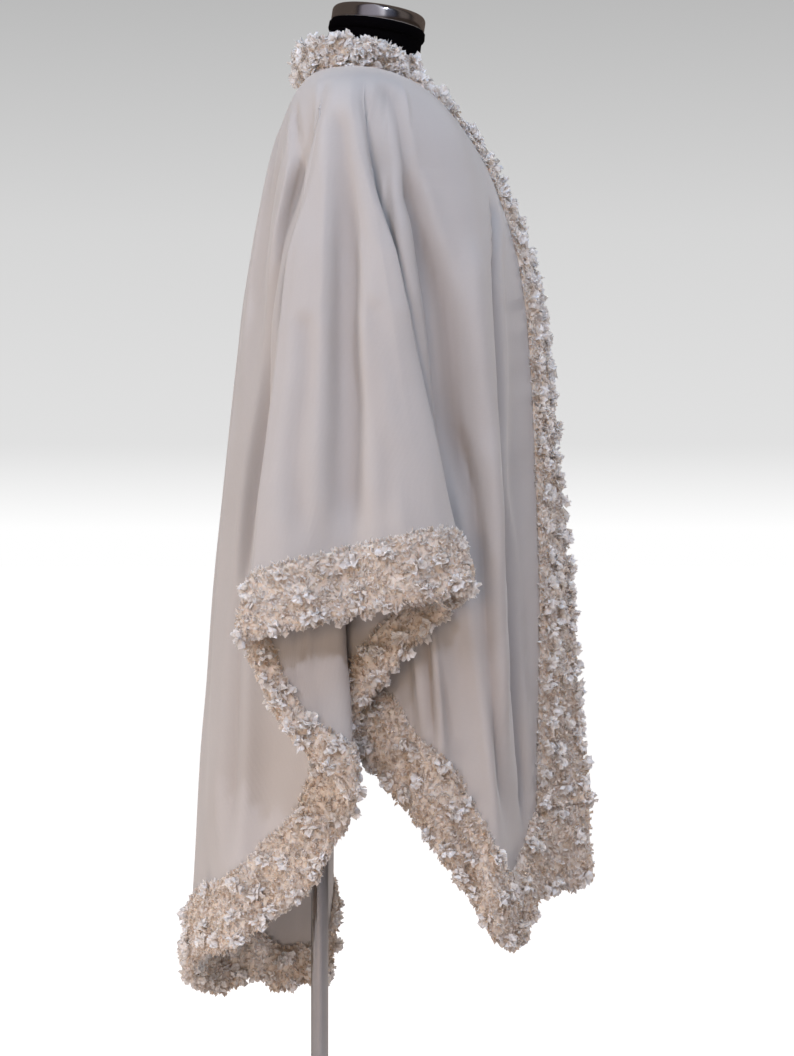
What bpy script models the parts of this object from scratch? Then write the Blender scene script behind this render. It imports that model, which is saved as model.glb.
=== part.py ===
"""A long open-front wool cape with a knobbly ribbon trim, on a headless dress form and stand.

Units are metres and +Z is up. The wearer faces -Y, so the wearer's right side is at -X. Places on the
garment are written the way a fitter measures them: fwd is forward of the stand's pole, out is sideways
from the middle of the body, and up is the height above the floor. The cape is one cloth: the lines
that run down it from the neck, its folds, are the rows of the table FOLDS, and the cloth is the smooth
surface through them.
"""

import math
from bisect import bisect_right

import bmesh
import bpy
import numpy as np
from mathutils import Matrix, Vector

# Cloth and trim
WALL = 0.0022
SEAM_GAP = 0.0006
HEM_SEAM_GAP = 0.0011
TRIM_WIDTH = 0.070
TRIM_HALF_THICKNESS = 0.0068
TRIM_KNOB = 0.0022
TRIM_SCALLOP = 0.0040
TRIM_STEP = 0.016
TIGHT_SHARE = 0.45

# Middle of the shoulders, which the folds spread from
SHOULDER_FWD = 0.020

# Shape of the cloth where it lies on the shoulders: distance out from the middle, and height, of the
# front, side and back lines, at five places from the neck edge to the fullest part of the chest
YOKE = (
    # along, front, front_up, side, side_up, back, back_up
    (0.00, 0.072, 1.412, 0.074, 1.432, 0.060, 1.424),
    (0.20, 0.101, 1.385, 0.125, 1.421, 0.070, 1.395),
    (0.42, 0.128, 1.350, 0.174, 1.399, 0.082, 1.360),
    (0.70, 0.162, 1.300, 0.203, 1.337, 0.101, 1.308),
    (1.00, 0.189, 1.235, 0.214, 1.245, 0.1165, 1.245),
)
YOKE_ROUNDNESS = 2.25
SHOULDER_ALONG = 0.42
FOLDS_START_ALONG = 0.36

# One row for each fold of the wearer's right half, from the free edge of the front trim to the middle
# of the back. neck, shoulder and chest are its direction in degrees, from straight ahead round to
# straight back. tuck is how far it stands out from the yoke at the chest, and belly how far it swells
# below that. fwd, out and up place its lower end, on the free edge of the hem trim. trim is the hem
# trim's share of TRIM_WIDTH there, less where only its narrow inner face shows. steps is the number of
# strips of cloth from this fold to the next.
FOLDS = (
    # name, neck, shoulder, chest, tuck, belly, fwd, out, up, trim, steps
    ("front_edge", 22, 13, 7, 0.001, 0.008, 0.2900, 0.026, 0.508, 1.00, 3),
    ("front_border", 46, 30, 26, 0.000, 0.016, 0.2260, 0.080, 0.497, 1.00, 2),
    ("bust_hollow", 50, 37, 36, -0.005, 0.004, 0.2040, 0.112, 0.452, 1.00, 3),
    ("front_ridge", 55, 53, 52, 0.004, 0.012, 0.1800, 0.142, 0.462, 1.00, 3),
    ("front_hollow", 60, 70, 69, -0.010, 0.004, 0.1530, 0.130, 0.502, 1.00, 3),
    ("front_swell", 65, 74, 75, -0.002, 0.004, 0.1145, 0.144, 0.556, 1.00, 3),
    ("side_front_hollow", 69, 77.5, 80, -0.014, 0.000, 0.0840, 0.124, 0.596, 1.00, 2),
    ("side_front_swell", 72, 80, 84, -0.024, 0.000, 0.0500, 0.121, 0.636, 1.00, 2),
    ("front_tuck_in", 74, 82, 87.5, -0.030, 0.000, 0.0130, 0.127, 0.672, 0.95, 2),
    ("front_tuck_out", 76, 83.8, 87.5, -0.018, 0.000, 0.0130, 0.152, 0.690, 0.90, 2),
    ("front_return", 78, 85.4, 84, -0.012, 0.000, 0.0640, 0.182, 0.764, 0.85, 3),
    ("flap_front_in", 81, 87.4, 80.6, -0.004, 0.000, 0.1400, 0.204, 0.842, 1.00, 2),
    ("flap_front_edge", 83, 89.6, 80.6, 0.009, 0.000, 0.1400, 0.228, 0.847, 1.00, 2),
    ("flap_front_side", 86, 91.2, 84, 0.011, 0.003, 0.1080, 0.246, 0.840, 1.00, 2),
    ("flap_front", 89, 93.0, 88, 0.006, 0.004, 0.0600, 0.250, 0.829, 1.00, 2),
    ("flap_middle", 92, 94.6, 92.5, -0.003, -0.006, 0.0140, 0.238, 0.819, 1.00, 2),
    ("flap_back", 96, 96.6, 98, 0.007, 0.003, -0.0300, 0.246, 0.810, 1.00, 2),
    ("flap_back_edge", 100, 98.8, 106.5, 0.007, 0.002, -0.0950, 0.230, 0.797, 0.95, 2),
    ("flap_back_in", 103.5, 101.0, 106.5, -0.006, 0.000, -0.0950, 0.206, 0.790, 0.80, 3),
    ("back_return", 106, 103.2, 103, -0.013, 0.000, -0.0480, 0.198, 0.694, 0.55, 3),
    ("back_tuck_out", 109, 105.2, 99.5, -0.020, 0.000, 0.0160, 0.192, 0.630, 0.65, 2),
    ("back_tuck_in", 111.5, 107.2, 99.5, -0.031, 0.000, 0.0160, 0.168, 0.604, 0.85, 2),
    ("side_back_hollow", 115, 110, 110, -0.030, 0.000, -0.0060, 0.154, 0.560, 1.00, 2),
    ("side_back_swell", 120, 113, 119, -0.008, 0.002, -0.0280, 0.148, 0.520, 1.00, 2),
    ("back_hollow", 130, 122, 129, -0.012, 0.004, -0.0680, 0.128, 0.486, 1.00, 2),
    ("back_ridge", 143, 135, 142, 0.001, 0.010, -0.1110, 0.120, 0.452, 1.00, 2),
    ("back_side", 160, 156, 159, -0.002, 0.008, -0.1540, 0.066, 0.436, 1.00, 2),
    ("back_middle", 180, 180, 180, 0.000, 0.010, -0.1740, 0.000, 0.404, 1.00, 2),
)
# The left half is the right half mirrored, but it hangs a little differently: these rows are moved
# by fwd, out and up at the lower end.
LEFT_HANG = (
    # name, fwd, out, up
    ("front_edge", -0.006, 0.002, 0.004),
    ("front_border", -0.008, 0.006, 0.008),
    ("bust_hollow", 0.000, 0.004, 0.026),
    ("front_ridge", -0.006, -0.004, 0.020),
    ("front_swell", 0.006, -0.004, -0.008),
    ("side_front_swell", 0.004, 0.002, 0.010),
    ("flap_front", -0.006, -0.004, -0.006),
    ("flap_middle", 0.004, 0.006, 0.006),
    ("flap_back", 0.006, -0.003, 0.008),
    ("flap_back_edge", 0.006, 0.000, 0.000),
    ("flap_back_in", 0.008, 0.000, -0.020),
    ("back_return", 0.000, 0.000, -0.140),
    ("back_tuck_out", -0.032, 0.000, -0.205),
    ("back_tuck_in", -0.037, 0.000, -0.232),
    ("side_back_hollow", -0.042, 0.000, -0.194),
    ("side_back_swell", -0.046, 0.000, -0.162),
    ("back_hollow", -0.034, 0.004, -0.108),
    ("back_ridge", -0.026, 0.000, -0.090),
    ("back_side", -0.011, 0.000, -0.058),
)
BELLY_ALONG = 0.40

# Where each fold's points lie along it: the five of the yoke, the belly and the lower end
KNOTS = (0.0, 0.07, 0.147, 0.245, 0.33, 0.60, 1.0)
# Rows of the cloth, as shares of the way from the neck edge to the hem trim
CLOTH_ROWS = (
    0.0, 0.052, 0.105, 0.155, 0.20, 0.25, 0.30, 0.36, 0.43, 0.51, 0.60, 0.69, 0.78, 0.86, 0.93, 1.0,
)

# Free edge of the neck trim, from the front round to the middle of the back
NECK_EDGE = (
    # fwd, out, up
    (0.0920, 0.030, 1.436),
    (0.0720, 0.066, 1.448),
    (0.0350, 0.084, 1.458),
    (-0.0120, 0.073, 1.461),
    (-0.0400, 0.000, 1.461),
)
NECK_TRIM_STEPS = 28
NECK_SEAM_GAP = 0.0016

# Dress form: heights of its cross-sections, with the middle's fwd, half depth and half width
FORM_RINGS = (
    # up, fwd, half_depth, half_width
    (0.800, 0.030, 0.084, 0.104),
    (0.812, 0.030, 0.100, 0.126),
    (0.880, 0.036, 0.106, 0.134),
    (0.960, 0.044, 0.098, 0.128),
    (1.040, 0.050, 0.086, 0.114),
    (1.120, 0.058, 0.094, 0.124),
    (1.205, 0.060, 0.115, 0.144),
    (1.285, 0.046, 0.103, 0.158),
    (1.354, 0.030, 0.081, 0.166),
    (1.391, 0.024, 0.060, 0.158),
    (1.410, 0.024, 0.052, 0.112),
    (1.433, 0.028, 0.050, 0.062),
    (1.450, 0.036, 0.049, 0.050),
)
FORM_POINTS = 16
NECK_TOP_UP = 1.4895
NECK_TOP_FWD = 0.0455
NECK_TILT = math.radians(8.3)
NECK_RADIUS = 0.0505
CAP_RADIUS = 0.054
CAP_HEIGHT = 0.0175
CAP_ROUNDING = 0.007

# Stand
POLE_RADIUS = 0.010
POLE_FWD = -0.021
BASE_RADIUS = 0.170
BASE_HEIGHT = 0.010
BASE_ROUNDING = 0.003
FIT_GAP = 0.0003

COLOURS = {
    # name: red, green, blue, roughness, metallic
    "cream_wool": (0.80, 0.74, 0.68, 0.85, 0.0),
    "ivory_ribbon": (0.86, 0.80, 0.70, 0.60, 0.0),
    "black_jersey": (0.010, 0.010, 0.011, 0.80, 0.0),
    "chrome": (0.72, 0.72, 0.74, 0.12, 1.0),
}


def clear_scene():
    for old in list(bpy.data.objects):
        bpy.data.objects.remove(old, do_unlink=True)


def collection_for_parts():
    parts = bpy.data.collections.new("cape_on_dress_form")
    bpy.context.scene.collection.children.link(parts)
    return parts


def material(name):
    """A plain Principled material with the named colour."""
    made = bpy.data.materials.get(name)
    if made:
        return made
    red, green, blue, roughness, metallic = COLOURS[name]
    made = bpy.data.materials.new(name)
    made.use_nodes = True
    shader = made.node_tree.nodes["Principled BSDF"]
    shader.inputs["Base Color"].default_value = (red, green, blue, 1.0)
    shader.inputs["Roughness"].default_value = roughness
    shader.inputs["Metallic"].default_value = metallic
    return made


def add_object(name, mesh, material_name, parts):
    mesh.materials.append(material(material_name))
    made = bpy.data.objects.new(name, mesh)
    parts.objects.link(made)
    return made


def mesh_of(name, points, faces):
    mesh = bpy.data.meshes.new(name)
    mesh.from_pydata([tuple(p) for p in points], [], faces)
    mesh.validate()
    mesh.shade_smooth()
    return mesh


def place(fwd, out, up, side):
    """World point of a fitter's measure on the wearer's right (side -1) or left (side 1)."""
    return np.array((side * out, -fwd, up))


def smooth_step(value):
    t = min(max(value, 0.0), 1.0)
    return t * t * (3.0 - 2.0 * t)


def spline(knots, values, at, slopes=None):
    """Cubic curve through the values at the knots, with tangents taken from its neighbours."""
    values = np.asarray(values, float)
    if slopes is None:
        slopes = np.gradient(values, np.asarray(knots, float), axis=0)
    index = min(max(bisect_right(knots, at) - 1, 0), len(knots) - 2)
    span = knots[index + 1] - knots[index]
    t = (at - knots[index]) / span
    start, end = values[index], values[index + 1]
    leave, arrive = slopes[index] * span, slopes[index + 1] * span
    return (
        (2 * t**3 - 3 * t**2 + 1) * start
        + (t**3 - 2 * t**2 + t) * leave
        + (3 * t**2 - 2 * t**3) * end
        + (t**3 - t**2) * arrive
    )


def yoke_reach(along, degrees):
    """Distance out from the shoulders' middle, and height, of the yoke in a direction."""
    row = spline([r[0] for r in YOKE], [r[1:] for r in YOKE], along)
    front, front_up, side, side_up, back, back_up = row
    ahead = math.cos(math.radians(degrees))
    across = math.sin(math.radians(degrees))
    depth, depth_up = (front, front_up) if ahead >= 0 else (back, back_up)
    reach = (abs(ahead) / depth) ** YOKE_ROUNDNESS + (abs(across) / side) ** YOKE_ROUNDNESS
    up = depth_up * ahead**2 + side_up * across**2
    return reach ** (-1.0 / YOKE_ROUNDNESS), up


def fold_points(fold, side):
    """The seven points of one fold: five on the yoke, its belly and its lower end."""
    name, neck, shoulder, chest, tuck, belly, fwd, out, up, _, _ = fold
    if side > 0:
        for changed, fwd_move, out_move, up_move in LEFT_HANG:
            if changed == name:
                fwd, out, up = fwd + fwd_move, out + out_move, up + up_move
    points = []
    for along in [row[0] for row in YOKE]:
        degrees = spline((0.0, SHOULDER_ALONG, 1.0), (neck, shoulder, chest), along)
        reach, height = yoke_reach(along, degrees)
        reach += tuck * smooth_step((along - FOLDS_START_ALONG) / (1.0 - FOLDS_START_ALONG))
        turn = math.radians(degrees)
        points.append(
            place(SHOULDER_FWD + reach * math.cos(turn), reach * math.sin(turn), height, side)
        )
    if name == "front_edge":
        points[0] = place(*NECK_EDGE[0], side)
    hem = place(fwd, out, up, side)
    middle = points[-1] * (1 - BELLY_ALONG) + hem * BELLY_ALONG
    outward = middle - place(SHOULDER_FWD, 0.0, middle[2], side)
    middle = middle + belly * outward / np.linalg.norm(outward)
    return points + [middle, hem]


def all_folds():
    """Each fold's points, and the strips to the next, from the right front edge round to the left."""
    right = [fold_points(fold, -1) for fold in FOLDS]
    left = [fold_points(fold, 1) for fold in FOLDS]
    steps = [fold[-1] for fold in FOLDS[:-1]]
    widths = [fold[-2] * TRIM_WIDTH for fold in FOLDS]
    return np.array(right + left[-2::-1]), steps + steps[::-1], widths + widths[-2::-1]


FOLD_POINTS, STEPS, TRIM_WIDTHS = all_folds()
FOLD_SLOPES = np.gradient(FOLD_POINTS, np.array(KNOTS), axis=1)
LAST_FOLD = len(FOLD_POINTS) - 1
MIDDLE_FOLD = LAST_FOLD // 2
# Fold numbers at which the cloth's columns stand, border to border; half a step is halfway between
CLOTH_COLUMNS = [
    fold + n / count for fold, count in enumerate(STEPS) for n in range(count) if 1 <= fold
]
CLOTH_COLUMNS = [u for u in CLOTH_COLUMNS if u < LAST_FOLD - 1] + [LAST_FOLD - 1.0]


def tangent(before, point, after):
    """Direction of a smooth curve at a point, for spacing that follows the root of the distance."""
    near = math.sqrt(max(math.dist(point, before), 1e-9))
    far = math.sqrt(max(math.dist(after, point), 1e-9))
    slope = (point - before) / near - (after - before) / (near + far) + (after - point) / far
    return slope, near, far


def surface(u, v):
    """Point of the cloth's outer face: u in fold numbers across it, v from the neck down to 1."""
    fold = int(np.clip(math.floor(u), 0, LAST_FOLD - 1))
    t = u - fold
    nearby = [min(max(fold + k, 0), LAST_FOLD) for k in (-1, 0, 1, 2)]
    lines = [spline(KNOTS, FOLD_POINTS[k], v, FOLD_SLOPES[k]) for k in nearby]
    if fold == 0:
        lines[0] = 2 * lines[1] - lines[2]
    if fold == LAST_FOLD - 1:
        lines[3] = 2 * lines[2] - lines[1]
    leave, _, span = tangent(lines[0], lines[1], lines[2])
    arrive, span, _ = tangent(lines[1], lines[2], lines[3])
    return (
        (2 * t**3 - 3 * t**2 + 1) * lines[1]
        + (t**3 - 2 * t**2 + t) * leave * span
        + (3 * t**2 - 2 * t**3) * lines[2]
        + (t**3 - t**2) * arrive * span
    )


def unit(vector):
    return vector / max(math.hypot(*vector), 1e-12)


def surface_frame(u, v):
    """Point of the outer face with its unit directions across, down and outward."""
    left, right = max(u - 0.04, 0.0), min(u + 0.04, float(LAST_FOLD))
    above, below = max(v - 0.012, 0.0), min(v + 0.012, 1.0)
    across = unit(surface(right, v) - surface(left, v))
    down = unit(surface(u, below) - surface(u, above))
    return surface(u, v), across, down, unit(np.cross(across, down))


def bend(u, v):
    """How sharply the surface turns across itself: above 0 where its outer face is the outer side."""
    found = 0.0
    for reach in (0.12, 0.25, 0.4):
        left, right = max(u - reach, 0.0), min(u + reach, float(LAST_FOLD))
        near, far = surface_frame(left, v), surface_frame(right, v)
        span = far[0] - near[0]
        turned = float((far[3] - near[3]) @ unit(span)) / max(np.linalg.norm(span), 1e-6)
        found = turned if abs(turned) > abs(found) else found
    return found


def trim_start(u):
    """How far down the cloth the hem trim starts, so that it is as wide as TRIM_WIDTH."""
    inside = float(np.clip(u, 1.0, LAST_FOLD - 1.0))
    lengths = []
    for shift in (-0.5, -0.25, 0.0, 0.25, 0.5):
        at = float(np.clip(inside + shift, 1.0, LAST_FOLD - 1.0))
        hem = surface(min(at + 0.05, LAST_FOLD), 1.0) - surface(at - 0.05, 1.0)
        down = surface(at, 1.0) - surface(at, 0.9)
        slant = np.linalg.norm(np.cross(unit(hem), unit(down)))
        width = np.interp(at, range(LAST_FOLD + 1), TRIM_WIDTHS)
        lengths.append(width / max(slant, 0.55) / (np.linalg.norm(down) / 0.1))
    return 1.0 - sum(lengths) / len(lengths)


def make_cloth(parts):
    """The cape's one piece of cloth: its outer face, its inner face a wall further in, and the rims."""
    starts = [trim_start(u) for u in CLOTH_COLUMNS]
    outer, inner = [], []
    for row in CLOTH_ROWS:
        for u, start in zip(CLOTH_COLUMNS, starts):
            point, _, _, normal = surface_frame(u, row * start)
            outer.append(point)
            tight = bend(u, row * start)
            inner.append(point - normal * min(WALL, TIGHT_SHARE / max(tight, 1.0)))
    columns = len(CLOTH_COLUMNS)
    count = len(outer)
    faces = []
    for row in range(len(CLOTH_ROWS) - 1):
        for column in range(columns - 1):
            corner = row * columns + column
            face = (corner, corner + 1, corner + columns + 1, corner + columns)
            faces.append(face)
            faces.append(tuple(count + k for k in reversed(face)))
    top = list(range(columns))
    right = [row * columns + columns - 1 for row in range(1, len(CLOTH_ROWS))]
    bottom = [count - columns + column for column in range(columns - 2, -1, -1)]
    left = [row * columns for row in range(len(CLOTH_ROWS) - 2, 0, -1)]
    rim = top + right + bottom + left
    for k, near in enumerate(rim):
        far = rim[(k + 1) % len(rim)]
        faces.append((far, near, count + near, count + far))
    return add_object("cape_cloth", mesh_of("cape_cloth", outer + inner, faces), "cream_wool", parts)


# Half of a trim's cross-section, from the seam to the free edge: share of the width, height of the
# outer and inner faces as shares of the half thickness, and how much of the knobs it takes
TRIM_SECTION = (
    # along, outer, inner, knob
    (0.00, 0.16, 0.16, 0.0),
    (0.20, 0.95, 0.95, 1.0),
    (0.66, 1.10, 1.10, 1.0),
    (1.00, 0.35, 0.35, 0.6),
)
NECK_SECTION = (
    # along, outer, inner, knob
    (0.00, 0.16, 0.16, 0.0),
    (0.34, 0.75, 0.85, 0.6),
    (0.70, 1.05, 1.00, 1.0),
    (1.00, 0.35, 0.35, 0.6),
)


def trim_loop(section, places, normals, station, knobby=1.0, bends=(0.0, 0.0, 0.0, 0.0)):
    """One closed cross-section of a trim: out on its outer face and back on its inner face.

    places and normals are the trim's middle, one for each row of the section. bends is how sharply
    the trim turns there, so that it is thinner on the inside of a tight fold.
    """
    lift = knobby if station % 2 else -knobby
    edge = unit(places[-1] - places[-2]) * TRIM_SCALLOP * lift
    loop = []
    for face in (1.0, -1.0):
        order = range(4) if face > 0 else range(3, -1, -1)
        for k in order:
            along, outer, inner, knob = section[k]
            checker = lift if along < 0.5 else -lift
            height = (outer if face > 0 else inner) * TRIM_HALF_THICKNESS + knob * checker * TRIM_KNOB
            if bends[k] * face < 0:
                height = min(height, TIGHT_SHARE / abs(bends[k]))
            moved = places[k] + (edge if k == 3 else 0.0)
            loop.append(moved + normals[k] * (face * height - WALL / 2))
    return loop


def loft_mesh(name, loops):
    """Closed solid through a row of loops of points, with a flat end at each end."""
    bm = bmesh.new()
    rings = [[bm.verts.new(tuple(p)) for p in loop] for loop in loops]
    count = len(rings[0])
    for near, far in zip(rings, rings[1:]):
        for k in range(count):
            after = (k + 1) % count
            bm.faces.new((near[k], near[after], far[after], far[k]))
    bm.faces.new(list(reversed(rings[0])))
    bm.faces.new(rings[-1])
    bmesh.ops.recalc_face_normals(bm, faces=bm.faces)
    mesh = bpy.data.meshes.new(name)
    bm.to_mesh(mesh)
    bm.free()
    mesh.shade_smooth()
    return mesh


def make_front_trim(name, side, parts):
    """Strip between the cloth's front border and the free edge in front of it."""
    border, edge = (1.0, 0.0) if side < 0 else (LAST_FOLD - 1.0, float(LAST_FOLD))
    foot = trim_start(border)
    stations = []
    for above, below in zip(CLOTH_ROWS, CLOTH_ROWS[1:]):
        start, end = surface_frame(border, foot * above), surface_frame(border, foot * below)
        count = max(1, round(np.linalg.norm(end[0] - start[0]) / TRIM_STEP))
        for n in range(count):
            share = n / count
            v = foot * (above + (below - above) * share)
            seam = [start[part] + (end[part] - start[part]) * share for part in (0, 3)]
            stations.append((v, seam))
    stations.append((foot, [surface_frame(border, foot)[part] for part in (0, 3)]))
    loops = []
    last = len(stations) - 1
    for k, (v, seam) in enumerate(stations):
        places, normals = [], []
        for along, _, _, _ in TRIM_SECTION:
            point, across, down, normal = surface_frame(border + (edge - border) * along, v)
            outward = -across if side < 0 else across
            if along == 0.0:
                point, normal = seam[0] + outward * SEAM_GAP, seam[1]
            if k == 0:
                point = point + down * SEAM_GAP
            if k == last:
                point = point - down * HEM_SEAM_GAP * 1.8
            places.append(point)
            normals.append(normal)
        loops.append(trim_loop(TRIM_SECTION, places, normals, k, 0.0 if k in (0, last) else 1.0))
    return add_object(name, loft_mesh(name, loops), "ivory_ribbon", parts)


def make_hem_trim(name, first, last, parts):
    """Strip below the cloth, from one fold number to another."""
    stations = []
    for fold, count in enumerate(STEPS):
        stations += [fold + n / (count * 2) for n in range(count * 2)]
    stations = [u for u in stations + [float(LAST_FOLD)] if first <= u <= last]
    frames = []
    for k, u in enumerate(stations):
        start = trim_start(u)
        frame = []
        for along, _, _, _ in TRIM_SECTION:
            point, across, down, normal = surface_frame(u, start + (1.0 - start) * along)
            if u == MIDDLE_FOLD:
                point = point + across * (SEAM_GAP if k == 0 else -SEAM_GAP)
            frame.append([point, normal, bend(u, start + (1.0 - start) * along), down])
        frames.append(frame)
    seams = [frame[0][0] for frame in frames]
    for k, frame in enumerate(frames):
        seam = unit(seams[min(k + 1, len(seams) - 1)] - seams[max(k - 1, 0)])
        slant = max(np.linalg.norm(np.cross(seam, frame[0][3])), 0.25)
        for row, (along, _, _, _) in zip(frame, TRIM_SECTION):
            row[0] = row[0] + row[3] * HEM_SEAM_GAP / slant * (1.0 - along)
    for k in range(1, len(frames) - 1, 2):
        for part in (0, 1):
            frames[k][0][part] = (frames[k - 1][0][part] + frames[k + 1][0][part]) / 2
    loops = []
    for k, (u, frame) in enumerate(zip(stations, frames)):
        places, normals, bends, _ = zip(*frame)
        knobby = 0.0 if u == MIDDLE_FOLD else 1.0
        loops.append(trim_loop(TRIM_SECTION, places, normals, k, knobby, bends))
    return add_object(name, loft_mesh(name, loops), "ivory_ribbon", parts)


def make_neck_trim(parts):
    """Band that stands round the neck edge, between the tops of the two front trims."""
    rim = [place(*row, -1) for row in NECK_EDGE] + [place(*row, 1) for row in NECK_EDGE[-2::-1]]
    knots = np.linspace(0.0, 1.0, len(rim))
    fine = [surface(u, 0.0) for u in np.linspace(1.0, LAST_FOLD - 1.0, 200)]
    lengths = np.concatenate([[0.0], np.cumsum([np.linalg.norm(b - a) for a, b in zip(fine, fine[1:])])])
    axis = place(SHOULDER_FWD, 0.0, 0.0, 1)
    borders, edges = [], []
    for k in range(NECK_TRIM_STEPS + 1):
        share = k / NECK_TRIM_STEPS
        borders.append(
            np.array([np.interp(share * lengths[-1], lengths, [p[i] for p in fine]) for i in range(3)])
        )
        edges.append(spline(knots, rim, share))
    front = {side: surface_frame(0.5 if side < 0 else LAST_FOLD - 0.5, 0.0) for side in (-1, 1)}
    loops = []
    for k, (border, edge) in enumerate(zip(borders, edges)):
        ahead = borders[min(k + 1, NECK_TRIM_STEPS)] - borders[max(k - 1, 0)]
        reach = unit(edge - border)
        normal = unit(np.cross(reach, unit(ahead)))
        normal = normal if normal @ (border - axis - np.array((0.0, 0.0, border[2]))) > 0 else -normal
        near_end = min(k, NECK_TRIM_STEPS - k)
        _, _, front_down, front_normal = front[-1 if k < NECK_TRIM_STEPS / 2 else 1]
        turned = smooth_step(near_end / 4)
        normal = unit(normal * turned + front_normal * (1.0 - turned))
        shift = -front_down * SEAM_GAP if near_end == 0 else 0.0
        places = [
            border + (edge - border) * along + reach * NECK_SEAM_GAP * (1.0 - along) + shift
            for along, _, _, _ in NECK_SECTION
        ]
        knobby = 1.0 if near_end else 0.0
        loops.append(trim_loop(NECK_SECTION, places, [normal] * 4, k, knobby))
    return add_object("neck_trim", loft_mesh("neck_trim", loops), "ivory_ribbon", parts)


def make_torso(parts):
    """Torso and neck of the form: rings of points, rounded by a subdivision surface."""
    loops = []
    for up, fwd, half_depth, half_width in FORM_RINGS:
        loop = []
        for k in range(FORM_POINTS):
            turn = 2 * math.pi * k / FORM_POINTS
            loop.append(place(fwd + half_depth * math.cos(turn), half_width * math.sin(turn), up, 1))
        loops.append(loop)
    tilt = Matrix.Rotation(NECK_TILT, 3, "X")
    top = []
    for k in range(FORM_POINTS):
        turn = 2 * math.pi * k / FORM_POINTS
        spoke = tilt @ Vector((NECK_RADIUS * math.sin(turn), -NECK_RADIUS * math.cos(turn), 0.0))
        top.append(place(NECK_TOP_FWD, 0.0, NECK_TOP_UP, 1) + np.array(spoke))
    loops.append(top)
    torso = add_object("form_torso", loft_mesh("form_torso", loops), "black_jersey", parts)
    mesh = torso.data
    sharp = mesh.attributes.new("crease_edge", "FLOAT", "EDGE")
    ends = {tuple(sorted(key)) for face in mesh.polygons if len(face.vertices) > 4 for key in face.edge_keys}
    for edge in mesh.edges:
        sharp.data[edge.index].value = 1.0 if tuple(sorted(edge.vertices)) in ends else 0.0
    rounding = torso.modifiers.new("Rounding", "SUBSURF")
    rounding.levels = 1
    rounding.render_levels = 1
    return torso


def turned_mesh(name, profile, steps):
    """Closed solid turned about Z from a profile of radius and height, from the foot to the top."""
    bm = bmesh.new()
    rings = []
    for radius, height in profile:
        ring = []
        for k in range(steps):
            turn = 2 * math.pi * k / steps
            ring.append(bm.verts.new((radius * math.cos(turn), radius * math.sin(turn), height)))
        rings.append(ring)
    for near, far in zip(rings, rings[1:]):
        for k in range(steps):
            after = (k + 1) % steps
            bm.faces.new((near[k], near[after], far[after], far[k]))
    bm.faces.new(list(reversed(rings[0])))
    bm.faces.new(rings[-1])
    bmesh.ops.recalc_face_normals(bm, faces=bm.faces)
    mesh = bpy.data.meshes.new(name)
    bm.to_mesh(mesh)
    bm.free()
    mesh.shade_smooth()
    mesh.set_sharp_from_angle(angle=math.radians(40))
    return mesh


def make_neck_cap(parts):
    rounding = [
        (
            CAP_RADIUS - CAP_ROUNDING * (1 - math.cos(turn)),
            CAP_HEIGHT - CAP_ROUNDING * (1 - math.sin(turn)),
        )
        for turn in np.linspace(0.0, math.pi / 2, 4)
    ]
    cap = add_object("form_neck_cap", turned_mesh("form_neck_cap", [(CAP_RADIUS, 0.0), *rounding], 40), "chrome", parts)
    cap.rotation_euler = (NECK_TILT, 0.0, 0.0)
    axis = Matrix.Rotation(NECK_TILT, 3, "X") @ Vector((0.0, 0.0, 1.0))
    cap.location = Vector((0.0, -NECK_TOP_FWD, NECK_TOP_UP)) + axis * FIT_GAP
    return cap


def make_pole(parts):
    foot = BASE_HEIGHT + FIT_GAP
    top = FORM_RINGS[0][0] - FIT_GAP
    profile = [(POLE_RADIUS, foot), (POLE_RADIUS, top)]
    pole = add_object("stand_pole", turned_mesh("stand_pole", profile, 24), "chrome", parts)
    pole.location = (0.0, -POLE_FWD, 0.0)
    return pole


def make_base(parts):
    profile = [
        (BASE_RADIUS, 0.0),
        (BASE_RADIUS, BASE_HEIGHT - BASE_ROUNDING),
        (BASE_RADIUS - BASE_ROUNDING, BASE_HEIGHT),
    ]
    return add_object("stand_base", turned_mesh("stand_base", profile, 48), "chrome", parts)


def main():
    clear_scene()
    parts = collection_for_parts()
    make_cloth(parts)
    make_hem_trim("hem_trim_right", 0, MIDDLE_FOLD, parts)
    make_hem_trim("hem_trim_left", MIDDLE_FOLD, LAST_FOLD, parts)
    make_front_trim("front_trim_right", -1, parts)
    make_front_trim("front_trim_left", 1, parts)
    make_neck_trim(parts)
    make_torso(parts)
    make_neck_cap(parts)
    make_pole(parts)
    make_base(parts)


main()
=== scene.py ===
"""Looks of the long wool cape with its ruffled ribbon border, on its black dress form and chrome stand.

Metres, +Z up. The wearer faces -Y, and the wearer's right side, at -X, faces the camera.
"""

import math

import bpy
import numpy as np
from mathutils import Matrix, Vector


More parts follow.
